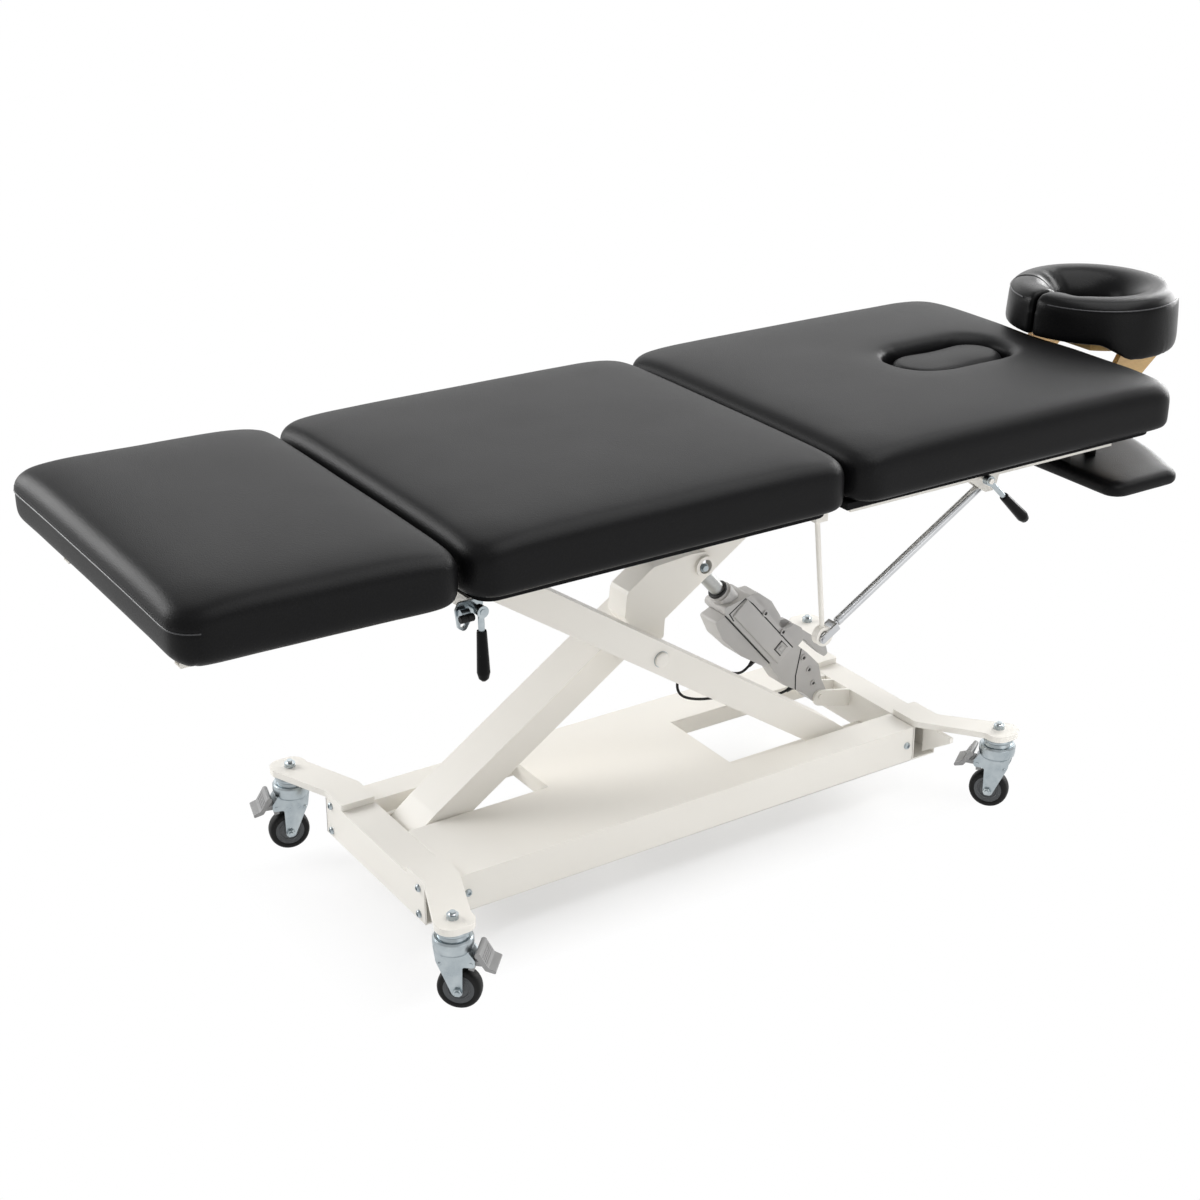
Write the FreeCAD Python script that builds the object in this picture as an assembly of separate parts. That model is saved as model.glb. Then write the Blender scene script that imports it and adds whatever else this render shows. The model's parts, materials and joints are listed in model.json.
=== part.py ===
import FreeCAD, Part
import math
import os

V = FreeCAD.Vector

# Electric treatment table with three padded sections, a scissor lift and four braked castors.
# Millimetres. X runs from the foot end to the head end, Y across, Z up from the floor.
# Distances named from the foot end become X through along().

# Padded top
TOP_WIDTH = 700.0
LEG_LENGTH = 450.0
SEAT_LENGTH = 720.0
BACK_LENGTH = 752.0
SECTION_GAP = 8.0
TOP_HEIGHT = 812.0
PAD_THICKNESS = 90.0
PAD_CORNER = 46.0
PAD_PULL = 2.5
BOARD_THICKNESS = 14.0
BOARD_INSET = 26.0
BOARD_CORNER = 30.0
BACK_LIFT_OFF = 1.5
BREATHER_LENGTH = 250.0
BREATHER_WIDTH = 130.0
BREATHER_FROM_HEAD = 248.0
BREATHER_LEDGE = 14.0
SOFT_CLEARANCE = 0.5

# Face cradle and arm shelf
CRADLE_RADIUS = 160.0
CRADLE_HOLE = 64.0
CRADLE_HEIGHT = 82.0
CRADLE_RISE = 0.6
CRADLE_SETBACK = 130.0
CRADLE_SLIT_DEG = 5.0
CRADLE_BASE_THICKNESS = 12.0
CRADLE_ARM_SPACING = 230.0
CRADLE_ARM_THICKNESS = 12.0
POST_RADIUS = 9.5
CROSSBAR_RADIUS = 11.0
POST_SPACING = 190.0
POST_FIT = 0.05
POST_LENGTH = 170.0
SOCKET_WALL = 4.5
SOCKET_LENGTH = 86.0
CROSSBAR_FROM_PAD = 62.0
SHELF_LENGTH = 654.0
SHELF_DEPTH = 170.0
SHELF_BULGE = 80.0
SHELF_THICKNESS = 28.0
SHELF_DROP = 94.0
SHELF_SETBACK = 126.0
STRAP_WIDTH = 25.0
STRAP_THICKNESS = 2.4
STRAP_SPACING = 380.0

# Base frame
BASE_FROM_FOOT = 445.0
BASE_LENGTH = 1116.0
BASE_WIDTH = 364.0
BASE_TOP = 153.0
BASE_DEPTH = 71.0
FOOT_BEAM_WIDTH = 66.0
HEAD_BEAM_WIDTH = 56.0
SHEET = 3.0
OPENING_FLANGE = 34.0
FOOT_OPENING_LENGTH = 286.0
FOOT_OPENING_FAR = 124.0
HEAD_OPENING_LENGTH = 378.0
HEAD_OPENING_NEAR = 112.0
HEAD_OPENING_FAR = 84.0

# Outriggers and castors
OUTRIGGER_THICKNESS = 12.0
OUTRIGGER_OVERLAP = 64.0
OUTRIGGER_END = 34.0
GUSSET_THICKNESS = 8.0
FOOT_STEM_X = 432.0
FOOT_STEM_Y = 300.0
HEAD_STEM_X = 1620.0
HEAD_STEM_Y = 290.0
WHEEL_RADIUS = 37.5
WHEEL_WIDTH = 28.0
CASTOR_TRAIL = 9.0
FORK_SHEET = 3.0
FORK_SIDE_GAP = 1.5
FORK_CROWN = 32.0
UPPER_RACE = 12.0
AXLE_RADIUS = 5.0
STEM_RADIUS = 6.0
RACE_RADIUS = 34.0
PEDAL_PIN_REACH = 32.0
PEDAL_PIN_RISE = 54.5
PEDAL_PIN_RADIUS = 3.0
PEDAL_HUB_RADIUS = 5.5
PEDAL_WIDTH = 50.0
FOOT_NEAR_TURN = -42.4
FOOT_FAR_TURN = 165.0
HEAD_NEAR_TURN = 125.0
HEAD_FAR_TURN = 71.6
RUNNING_FIT = 0.05
TURN_CLEARANCE = 0.3

# Scissor lift
ARM_HALF_LENGTH = 512.0
ARM_HEIGHT = 55.0
ARM_WALL = 4.0
ARM_END_RADIUS = 22.0
ARM_TAPER = 45.0
LIFT_PIVOT_SETBACK = 37.0
LIFT_PIVOT_DROP = 38.0
UPPER_PIVOT_DROP = 24.84
INNER_ARM_Y = 6.0
INNER_ARM_WIDTH = 90.0
OUTER_ARM_Y = -96.0
OUTER_ARM_WIDTH = 60.0
SHAFT_RADIUS = 9.0
PIVOT_LUG = 8.0
BUSH_RADIUS = 17.0
PIVOT_CAP_RADIUS = 14.0
ROLLER_RADIUS = 18.0
ROLLER_WIDTH = 12.0
ROLLER_GAP = 2.0
TRACK_THICKNESS = 5.0
ARM_LUG_HALF = 20.0

# Actuator: its foot measured from the head beam and the deck top, its upper pin along and off the inner arm
ACTUATOR_Y = 38.0
ACTUATOR_FOOT_SETBACK = 73.0
ACTUATOR_FOOT_RISE = 4.0
ACTUATOR_PIN_ALONG = 703.0
ACTUATOR_PIN_OFF = 4.0
ACTUATOR_ROD_RADIUS = 14.0
ACTUATOR_DEPTH = 64.0
FOOT_HALF = 22.0
FOOT_PIN_RADIUS = 6.0
FOOT_LUG = 6.0
HOUSING_SIDE = 34.0
HOUSING_START = 150.0
HOUSING_SHORT_END = 318.0
HOUSING_LONG_END = 352.0
COLLAR_LENGTH = 20.0
ROD_BORE_START = 85.0
ROD_RETRACT = 65.0
EYE_RADIUS = 15.0
EYE_WIDTH = 26.0
EYE_SLOT_HALF = 36.0
PADDLE_PIN_RADIUS = 3.0
PADDLE_WIDTH = 23.0
PIN_RADIUS = 5.0
PIN_BOSS_RADIUS = 20.0
PIN_BOSS_BORE = 13.5
PIN_REST_OFFSET = 2.95
GOOSENECK_WIDTH = 55.0
GOOSENECK_CHEEK = 8.0
CABLE_RADIUS = 2.6

# Upper frame
RAIL_WIDTH = 25.0
RAIL_HEIGHT = 38.0
RAIL_WALL = 2.5
RAIL_INSET = 135.0
CROSS_WIDTH = 25.0
CROSS_HEIGHT = 25.0
BACK_RAIL_WIDTH = 24.0
BACK_RAIL_INSET = 78.0
BACK_RAIL_LENGTH = 620.0
LEG_RAIL_WIDTH = 22.0
LEG_RAIL_LENGTH = 400.0
LEG_PIN_RADIUS = 6.0
LEG_PIN_DROP = 12.0
LEG_EAR_RADIUS = 11.0

# Hinges in the gap between seat and back
BACK_HINGE_DROP = 27.0
HINGE_SHEET = 2.5
LEAF_SETBACK = 0.4
LEAF_FOOT = 40.0
HINGE_WIDTH = 50.0
OUTER_HINGE_FROM_SIDE = 105.0
INNER_HINGE_FROM_SIDE = 200.0
KNUCKLE_RADIUS = 4.5
HINGE_PIN_RADIUS = 2.5

# Back struts, measured from the head end of the seat
STRUT_TOP_X = 368.0
STRUT_TOP_DROP = 37.5
STRUT_FOOT_X = 12.0
STRUT_FOOT_DROP = 212.0
STRUT_TUBE_RADIUS = 8.0
STRUT_ROD_RADIUS = 5.0
STRUT_EYE_RADIUS = 11.0
STRUT_PIN_RADIUS = 4.5
STRUT_REST_OFFSET = 6.4
STRUT_FORK_NECK = 32.0
STRUT_EAR = 4.0
STRUT_EAR_HALF = 7.0
HANGER_ROD_RADIUS = 4.5
HANGER_FOOT = 3.0
HANGER_RING_RADIUS = 18.0
HANGER_RING_BORE = 11.5
HANGER_RING_WIDTH = 14.0

# Release levers
LEVER_ROD_RADIUS = 5.0
LEVER_HUB_RADIUS = 9.0
LEVER_HUB_WIDTH = 12.0
LEVER_PIN_RADIUS = 5.0
LEVER_INSET = 30.0
LEVER_PLATE = 4.0
GRIP_LENGTH = 84.0
GRIP_RADIUS = 10.5
GRIP_NECK = 7.5

LEG_END = LEG_LENGTH
SEAT_START = LEG_END + SECTION_GAP
SEAT_END = SEAT_START + SEAT_LENGTH
BACK_START = SEAT_END + SECTION_GAP
BACK_END = BACK_START + BACK_LENGTH
CRADLE_X = BACK_END + CRADLE_SETBACK
LENGTH = CRADLE_X + CRADLE_RADIUS
HALF_WIDTH = TOP_WIDTH / 2
PAD_BOTTOM = TOP_HEIGHT - PAD_THICKNESS
BOARD_BOTTOM = PAD_BOTTOM - BOARD_THICKNESS
BACK_BOARD_BOTTOM = BOARD_BOTTOM + BACK_LIFT_OFF
BASE_HEAD = BASE_FROM_FOOT + BASE_LENGTH
BASE_BOTTOM = BASE_TOP - BASE_DEPTH
BASE_HALF = BASE_WIDTH / 2
FOOT_INNER = BASE_FROM_FOOT + FOOT_BEAM_WIDTH
HEAD_INNER = BASE_HEAD - HEAD_BEAM_WIDTH
LIFT_PIVOT_X = FOOT_INNER + LIFT_PIVOT_SETBACK
LIFT_PIVOT_Z = BASE_TOP - LIFT_PIVOT_DROP
UPPER_PIVOT_Z = BOARD_BOTTOM - UPPER_PIVOT_DROP
ARM_LENGTH = 2 * ARM_HALF_LENGTH
ARM_SIN = (UPPER_PIVOT_Z - LIFT_PIVOT_Z) / ARM_LENGTH
ARM_COS = math.sqrt(1 - ARM_SIN * ARM_SIN)
CENTRE_X = LIFT_PIVOT_X + ARM_HALF_LENGTH * ARM_COS
CENTRE_Z = LIFT_PIVOT_Z + ARM_HALF_LENGTH * ARM_SIN
ROLLER_X = LIFT_PIVOT_X + ARM_LENGTH * ARM_COS
BACK_HINGE_Z = TOP_HEIGHT - BACK_HINGE_DROP
LEVER_OVERHANG = HALF_WIDTH - LEVER_INSET
OUTER_HINGE_Y = HALF_WIDTH - OUTER_HINGE_FROM_SIDE
INNER_HINGE_Y = HALF_WIDTH - INNER_HINGE_FROM_SIDE
HINGE_PLACES = (-OUTER_HINGE_Y, -INNER_HINGE_Y, INNER_HINGE_Y, OUTER_HINGE_Y)

os.makedirs("parts", exist_ok=True)


def along(distance):
    return distance - LENGTH / 2


def box(x0, x1, y0, y1, z0, z1):
    return Part.makeBox(x1 - x0, y1 - y0, z1 - z0, V(along(x0), y0, z0))


def rod(start, end, radius):
    a = V(along(start[0]), start[1], start[2])
    b = V(along(end[0]), end[1], end[2])
    return Part.makeCylinder(radius, (b - a).Length, a, b - a)


def cross_rod(x, z, y0, y1, radius):
    return rod((x, y0, z), (x, y1, z), radius)


def outline(points, radii, place):
    # Closed wire through the points, each corner rounded by its radius.
    count = len(points)
    edges = []
    corners = []
    for i in range(count):
        corner = V(points[i][0], points[i][1], 0)
        before = V(points[i - 1][0], points[i - 1][1], 0) - corner
        after = V(points[(i + 1) % count][0], points[(i + 1) % count][1], 0) - corner
        before.normalize()
        after.normalize()
        radius = radii[i]
        if radius > 0:
            half = math.acos(max(-1.0, min(1.0, before.dot(after)))) / 2
            reach = radius / math.tan(half)
            middle = before + after
            middle.normalize()
            mid = corner + middle * (radius / math.sin(half) - radius)
            corners.append((corner + before * reach, mid, corner + after * reach))
        else:
            corners.append((corner, None, corner))
    for i in range(count):
        start, mid, end = corners[i]
        following = corners[(i + 1) % count][0]
        if mid is not None:
            edges.append(Part.Arc(place(start), place(mid), place(end)).toShape())
        if (following - end).Length > 1e-6:
            edges.append(Part.LineSegment(place(end), place(following)).toShape())
    return Part.Wire(edges)


def side_plate(points, radii, y0, y1):
    # Outline drawn in X and Z, thickness along Y.
    wire = outline(points, radii, lambda p: V(along(p.x), y0, p.y))
    return Part.Face(wire).extrude(V(0, y1 - y0, 0))


def flat_plate(points, radii, z0, z1):
    # Outline drawn in X and Y, thickness along Z.
    wire = outline(points, radii, lambda p: V(along(p.x), p.y, z0))
    return Part.Face(wire).extrude(V(0, 0, z1 - z0))


def joined(shapes):
    return shapes[0].multiFuse(shapes[1:]).removeSplitter()


def hollow_x(x0, x1, y0, y1, z0, z1, wall):
    return box(x0, x1, y0, y1, z0, z1).cut(box(x0, x1, y0 + wall, y1 - wall, z0 + wall, z1 - wall))


def hollow_y(x0, x1, y0, y1, z0, z1, wall):
    return box(x0, x1, y0, y1, z0, z1).cut(box(x0 + wall, x1 - wall, y0, y1, z0 + wall, z1 - wall))


def mirrored(shape):
    return shape.mirror(V(0, 0, 0), V(0, 1, 0))


def save(name, shapes):
    if not isinstance(shapes, list):
        shapes = [shapes]
    solids = []
    for shape in shapes:
        solids.extend(shape.Solids)
    body = solids[0] if len(solids) == 1 else Part.makeCompound(solids)
    body.exportStep("parts/" + name + ".step")


# Cushions: lofts through rounded outlines whose sides draw in between the corners.
PAD_RISE = ((0.0, 6.0), (7.0, 1.5), (18.0, 0.0), (46.0, 0.0), (63.0, 4.0), (75.0, 12.0),
            (83.0, 25.0), (87.0, 52.0), (90.0, 130.0))


def pad_outline(x0, x1, y0, y1, z, corner, pull):
    left, right = along(x0), along(x1)
    bend = corner * (1 - math.sqrt(0.5))
    edges = []

    def arc(a, b, c):
        edges.append(Part.Arc(V(a[0], a[1], z), V(b[0], b[1], z), V(c[0], c[1], z)).toShape())

    middle_x = (left + right) / 2
    middle_y = (y0 + y1) / 2
    arc((left + corner, y0), (middle_x, y0 + pull), (right - corner, y0))
    arc((right - corner, y0), (right - bend, y0 + bend), (right, y0 + corner))
    arc((right, y0 + corner), (right - pull, middle_y), (right, y1 - corner))
    arc((right, y1 - corner), (right - bend, y1 - bend), (right - corner, y1))
    arc((right - corner, y1), (middle_x, y1 - pull), (left + corner, y1))
    arc((left + corner, y1), (left + bend, y1 - bend), (left, y1 - corner))
    arc((left, y1 - corner), (left + pull, middle_y), (left, y0 + corner))
    arc((left, y0 + corner), (left + bend, y0 + bend), (left + corner, y0))
    return Part.Wire(edges)


def cushion(x0, x1, y0, y1, z0, corner, pull, rise):
    wires = []
    for height, inset in rise:
        round_corner = max(corner - inset * 0.35, 12.0)
        wires.append(pad_outline(x0 + inset, x1 - inset, y0 + inset, y1 - inset, z0 + height, round_corner,
                                 pull))
    return Part.makeLoft(wires, True, True)


def obround(x, y, length, width, z0, z1):
    half = length / 2
    radius = width / 2
    points = [(x - half, y - radius), (x + half, y - radius), (x + half, y + radius), (x - half, y + radius)]
    return flat_plate(points, [radius - 0.01] * 4, z0, z1)


RISE_SCALE = PAD_THICKNESS / 90.0
SECTION_RISE = [(height * RISE_SCALE, inset * RISE_SCALE) for height, inset in PAD_RISE]
BREATHER_X = BACK_END - BREATHER_FROM_HEAD


def section_cushion(x0, x1):
    return cushion(x0, x1, -HALF_WIDTH, HALF_WIDTH, PAD_BOTTOM, PAD_CORNER, PAD_PULL, SECTION_RISE)


leg_cushion = section_cushion(0.0, LEG_END)
seat_cushion = section_cushion(SEAT_START, SEAT_END)
back_cushion = section_cushion(BACK_START, BACK_END)
breather_hole = obround(BREATHER_X, 0.0, BREATHER_LENGTH, BREATHER_WIDTH, PAD_BOTTOM - 1, TOP_HEIGHT + 1)
save("leg_cushion", leg_cushion)
save("seat_cushion", seat_cushion)
save("back_cushion", back_cushion.cut(breather_hole))

plug_length = BREATHER_LENGTH - 2 * SOFT_CLEARANCE
plug_width = BREATHER_WIDTH - 2 * SOFT_CLEARANCE
plug = obround(BREATHER_X, 0.0, plug_length, plug_width, PAD_BOTTOM, TOP_HEIGHT - 14)
plug_crown = obround(BREATHER_X, 0.0, plug_length - 20, plug_width - 20, TOP_HEIGHT - 14, TOP_HEIGHT - 4)
save("breather_plug", joined([plug, plug_crown]))

# Boards under the cushions
board_half = HALF_WIDTH - BOARD_INSET


def board(x0, x1, first_corner, z0):
    points = [(x0, -board_half), (x1, -board_half), (x1, board_half), (x0, board_half)]
    return flat_plate(points, [first_corner, BOARD_CORNER, BOARD_CORNER, first_corner], z0, PAD_BOTTOM)


save("leg_board", board(BOARD_INSET, LEG_END - BOARD_INSET, BOARD_CORNER, BOARD_BOTTOM))
save("seat_board", board(SEAT_START + BOARD_INSET, SEAT_END - BOARD_INSET, BOARD_CORNER, BOARD_BOTTOM))
back_board_start = BACK_START - LEAF_SETBACK
back_board = board(back_board_start, BACK_END - BOARD_INSET, 0, BACK_BOARD_BOTTOM)
vent = obround(BREATHER_X, 0.0, BREATHER_LENGTH - 2 * BREATHER_LEDGE, BREATHER_WIDTH - 2 * BREATHER_LEDGE,
               BACK_BOARD_BOTTOM - 1, PAD_BOTTOM + 1)
save("back_board", back_board.cut(vent))

# Base: folded deck between two box beams, with one opening for each arm foot
deck = box(FOOT_INNER, HEAD_INNER, -BASE_HALF, BASE_HALF, BASE_BOTTOM, BASE_TOP)
deck = deck.cut(box(FOOT_INNER, HEAD_INNER, -BASE_HALF + SHEET, BASE_HALF - SHEET, BASE_BOTTOM,
                    BASE_TOP - SHEET))
foot_open = (FOOT_INNER, FOOT_INNER + FOOT_OPENING_LENGTH, INNER_ARM_Y - PIVOT_LUG, FOOT_OPENING_FAR)
head_open = (HEAD_INNER - HEAD_OPENING_LENGTH, HEAD_INNER, -HEAD_OPENING_NEAR, HEAD_OPENING_FAR)
for x0, x1, y0, y1 in (foot_open, head_open):
    reach0 = x0 if x0 == FOOT_INNER else x0 - SHEET
    reach1 = x1 if x1 == HEAD_INNER else x1 + SHEET
    collar = box(reach0, reach1, y0 - SHEET, y1 + SHEET, BASE_TOP - OPENING_FLANGE, BASE_TOP)
    deck = deck.fuse(collar).cut(box(x0, x1, y0, y1, BASE_BOTTOM - 1, BASE_TOP + 1))
save("base_deck", deck.removeSplitter())
save("foot_end_beam", hollow_y(BASE_FROM_FOOT, FOOT_INNER, -BASE_HALF, BASE_HALF, BASE_BOTTOM, BASE_TOP,
                               SHEET))
save("head_end_beam", hollow_y(HEAD_INNER, BASE_HEAD, -BASE_HALF, BASE_HALF, BASE_BOTTOM, BASE_TOP, SHEET))

# Outriggers on the beam ends, each with a gusset under it
outrigger_top = BASE_TOP + OUTRIGGER_THICKNESS
overlap_y = BASE_HALF - OUTRIGGER_OVERLAP


def outrigger(beam0, beam1, stem_x, stem_y):
    end = OUTRIGGER_END
    outer = stem_y + end
    points = [(beam0, -overlap_y), (beam0, -BASE_HALF), (stem_x - end, -stem_y), (stem_x - end, -outer),
              (stem_x + end, -outer), (stem_x + end, -stem_y), (beam1, -BASE_HALF), (beam1, -overlap_y)]
    plate = flat_plate(points, [4.0, 24.0, 14.0, end - 8.0, end - 8.0, 14.0, 24.0, 4.0], BASE_TOP,
                       outrigger_top)
    plate = plate.cut(rod((stem_x, -stem_y, BASE_TOP - 1), (stem_x, -stem_y, outrigger_top + 1),
                        STEM_RADIUS + RUNNING_FIT))
    middle = (beam0 + beam1) / 2
    span = stem_y - BASE_HALF - end
    rib_points = [(-BASE_HALF, BASE_TOP), (-BASE_HALF - span, BASE_TOP), (-BASE_HALF - span, BASE_TOP - 10),
                  (-BASE_HALF, BASE_BOTTOM + 12)]
    wire = outline(rib_points, [0, 0, 0, 0], lambda p: V(along(middle - GUSSET_THICKNESS / 2), p.x, p.y))
    rib = Part.Face(wire).extrude(V(GUSSET_THICKNESS, 0, 0))
    return joined([plate, rib])


foot_outrigger = outrigger(BASE_FROM_FOOT, FOOT_INNER, FOOT_STEM_X, FOOT_STEM_Y)
head_outrigger = outrigger(HEAD_INNER, BASE_HEAD, HEAD_STEM_X, HEAD_STEM_Y)
save("outriggers", [foot_outrigger, mirrored(foot_outrigger), head_outrigger, mirrored(head_outrigger)])

# Castors: fixed upper race and stem on the base, then fork, wheel and brake pedal
race_top = BASE_TOP
race_split = race_top - UPPER_RACE
fork_top = race_split - TURN_CLEARANCE
crown_bottom = fork_top - FORK_CROWN
nut_top = crown_bottom - TURN_CLEARANCE
axle_z = WHEEL_RADIUS
pedal_z = axle_z + PEDAL_PIN_RISE
stems = ((FOOT_STEM_X, -FOOT_STEM_Y, FOOT_NEAR_TURN, "foot_near"),
         (FOOT_STEM_X, FOOT_STEM_Y, FOOT_FAR_TURN, "foot_far"),
         (HEAD_STEM_X, -HEAD_STEM_Y, HEAD_NEAR_TURN, "head_near"),
         (HEAD_STEM_X, HEAD_STEM_Y, HEAD_FAR_TURN, "head_far"))


def ring_profile(points):
    edges = []
    for i in range(len(points)):
        a = points[i]
        b = points[(i + 1) % len(points)]
        edges.append(Part.LineSegment(V(a[0], 0, a[1]), V(b[0], 0, b[1])).toShape())
    return Part.Face(Part.Wire(edges)).revolve(V(0, 0, 0), V(0, 0, 1), 360)


def castor_stem():
    rim = RACE_RADIUS - 5
    race = ring_profile([(0, race_split), (rim - 3, race_split), (rim, race_split + 3), (rim, race_split + 6),
                         (rim - 3, race_top), (0, race_top)])
    stem = Part.makeCylinder(STEM_RADIUS, outrigger_top + 6 - nut_top + 7, V(0, 0, nut_top - 7))
    head = Part.makeCylinder(STEM_RADIUS + 4, 8.0, V(0, 0, outrigger_top))
    cap = Part.makeCylinder(STEM_RADIUS - 1, 13.0, V(0, 0, outrigger_top))
    nut = Part.makeCylinder(STEM_RADIUS + 4, 7.0, V(0, 0, nut_top - 7))
    return joined([race, stem, head, cap, nut])


def drawn_across(points, radii, half):
    # Outline drawn along the castor and up, thickness across it, the same each side.
    wire = outline(points, radii, lambda p: V(p.x, -half, p.y))
    return Part.Face(wire).extrude(V(0, 2 * half, 0))


def castor_fork():
    bore = STEM_RADIUS + TURN_CLEARANCE
    rim = RACE_RADIUS
    bowl = ring_profile([(bore, crown_bottom), (rim - 5, crown_bottom), (rim - 1, crown_bottom + 5),
                         (rim, crown_bottom + 12), (rim, fork_top - 10), (rim - 3, fork_top - 6),
                         (rim - 8, fork_top - 6), (rim - 10, fork_top), (bore, fork_top)])
    inner = WHEEL_WIDTH / 2 + FORK_SIDE_GAP
    outer = inner + FORK_SHEET
    lobe = PEDAL_PIN_RADIUS + 4.0
    lobe_end = PEDAL_PIN_REACH + lobe
    leg = [(4 - rim, crown_bottom + 14), (rim - 12, crown_bottom + 14), (lobe_end, pedal_z + lobe),
           (lobe_end, pedal_z - lobe), (CASTOR_TRAIL + 9, pedal_z - lobe), (CASTOR_TRAIL + 8, axle_z - 9),
           (CASTOR_TRAIL - 8, axle_z - 9), (8 - rim, pedal_z)]
    slab = drawn_across(leg, [2, 6, lobe - 1, lobe - 1, 4, 8, 7, 20], outer)
    slot_top = crown_bottom - 3.0
    slot = [(-2 * rim, 0), (2 * rim, 0), (2 * rim, pedal_z + lobe - 3), (rim - 14, slot_top),
            (-2 * rim, slot_top)]
    legs = slab.cut(drawn_across(slot, [0] * 5, inner))
    nut_room = Part.makeCylinder(STEM_RADIUS + 6, 40.0, V(0, 0, crown_bottom - 40))
    stem_bore = Part.makeCylinder(bore, 2 * FORK_CROWN, V(0, 0, crown_bottom - 1))
    shapes = [bowl, legs.cut(nut_room).cut(stem_bore)]
    reach = outer + 4
    shapes.append(Part.makeCylinder(AXLE_RADIUS, 2 * reach, V(CASTOR_TRAIL, -reach, axle_z), V(0, 1, 0)))
    shapes.append(Part.makeCylinder(PEDAL_PIN_RADIUS, 2 * outer + 2, V(PEDAL_PIN_REACH, -outer - 1, pedal_z),
                                    V(0, 1, 0)))
    return joined(shapes)


def castor_wheel():
    half = WHEEL_WIDTH / 2
    rim = WHEEL_RADIUS
    bore = AXLE_RADIUS + RUNNING_FIT
    profile = [(bore, -half), (12.0, -half), (14.0, -half + 3), (rim - 13.5, -half + 3), (rim - 12, -half),
               (rim - 5, -half), (rim - 1.2, -half + 4.5), (rim, -half + 11)]
    profile = profile + [(radius, -z) for radius, z in reversed(profile)]
    wheel = ring_profile(profile)
    wheel.rotate(V(0, 0, 0), V(1, 0, 0), 90)
    wheel.translate(V(CASTOR_TRAIL, 0, axle_z))
    return wheel


def castor_pedal():
    # Hub and shoe between the fork legs, then a wide tread: rolled top, slope and lip.
    half = WHEEL_WIDTH / 2 + FORK_SIDE_GAP - 1.0
    x, z = PEDAL_PIN_REACH, pedal_z
    roll = Part.makeCylinder(5.0, PEDAL_WIDTH, V(x + 13, -PEDAL_WIDTH / 2, z + 21), V(0, 1, 0))
    tread = [(x + 10, z + 18), (x + 18, z + 22), (x + 30, z + 1), (x + 43, z - 4), (x + 42, z - 9.5),
             (x + 25, z - 5)]
    slope = drawn_across(tread, [0, 0, 6, 2, 2, 6], PEDAL_WIDTH / 2)
    hub = Part.makeCylinder(PEDAL_HUB_RADIUS, 2 * half, V(x, -half, z), V(0, 1, 0))
    neck = drawn_across([(x, z - 4), (x + 27, z - 4), (x + 22, z + 4), (x, z + 4)], [0] * 4, half)
    shoe_drop = pedal_z - axle_z - WHEEL_RADIUS
    shoe = drawn_across([(x - 5, z), (x - 6, z - shoe_drop + 1), (x + 3, z - shoe_drop - 1), (x + 5, z)],
                        [0] * 4, half - 4)
    bore = Part.makeCylinder(PEDAL_PIN_RADIUS + RUNNING_FIT, 4 * half, V(x, -2 * half, z), V(0, 1, 0))
    return joined([roll, slope, hub, neck, shoe]).cut(bore)


def placed(shape, x, y, turn):
    copy = shape.copy()
    copy.rotate(V(0, 0, 0), V(0, 0, 1), turn)
    copy.translate(V(along(x), y, 0))
    return copy


stem_shape, fork_shape = castor_stem(), castor_fork()
wheel_shape, pedal_shape = castor_wheel(), castor_pedal()
save("castor_stems", [placed(stem_shape, x, y, turn) for x, y, turn, name in stems])
for x, y, turn, name in stems:
    save("castor_fork_" + name, placed(fork_shape, x, y, turn))
    save("castor_wheel_" + name, placed(wheel_shape, x, y, turn))
    save("brake_pedal_" + name, placed(pedal_shape, x, y, turn))

# Domed bolt heads on the base beams
bolts = []
for y, z in ((-BASE_HALF + 20, BASE_TOP - 9), (-BASE_HALF + 20, BASE_BOTTOM + 12),
             (BASE_HALF - 20, BASE_TOP - 9), (BASE_HALF - 20, BASE_BOTTOM + 12)):
    bolts.append(rod((BASE_FROM_FOOT - 4, y, z), (BASE_FROM_FOOT, y, z), 6.0))
for x in (FOOT_INNER + 16, HEAD_INNER - 16):
    for side in (-1, 1):
        face = side * BASE_HALF
        bolts.append(rod((x, face, (BASE_TOP + BASE_BOTTOM) / 2),
                         (x, face + side * 5, (BASE_TOP + BASE_BOTTOM) / 2), 7.0))
save("frame_bolts", bolts)


# Scissor arms: tapered box tubes with a bush through each end and the middle
def arm_point(foot_x, rise, u, h):
    # u runs up the arm from its foot and h square to it; rise is 1 leaning to the head end, -1 to the foot end.
    x = foot_x + rise * (u * ARM_COS - h * ARM_SIN)
    z = LIFT_PIVOT_Z + u * ARM_SIN + h * ARM_COS
    return (x, z)


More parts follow.
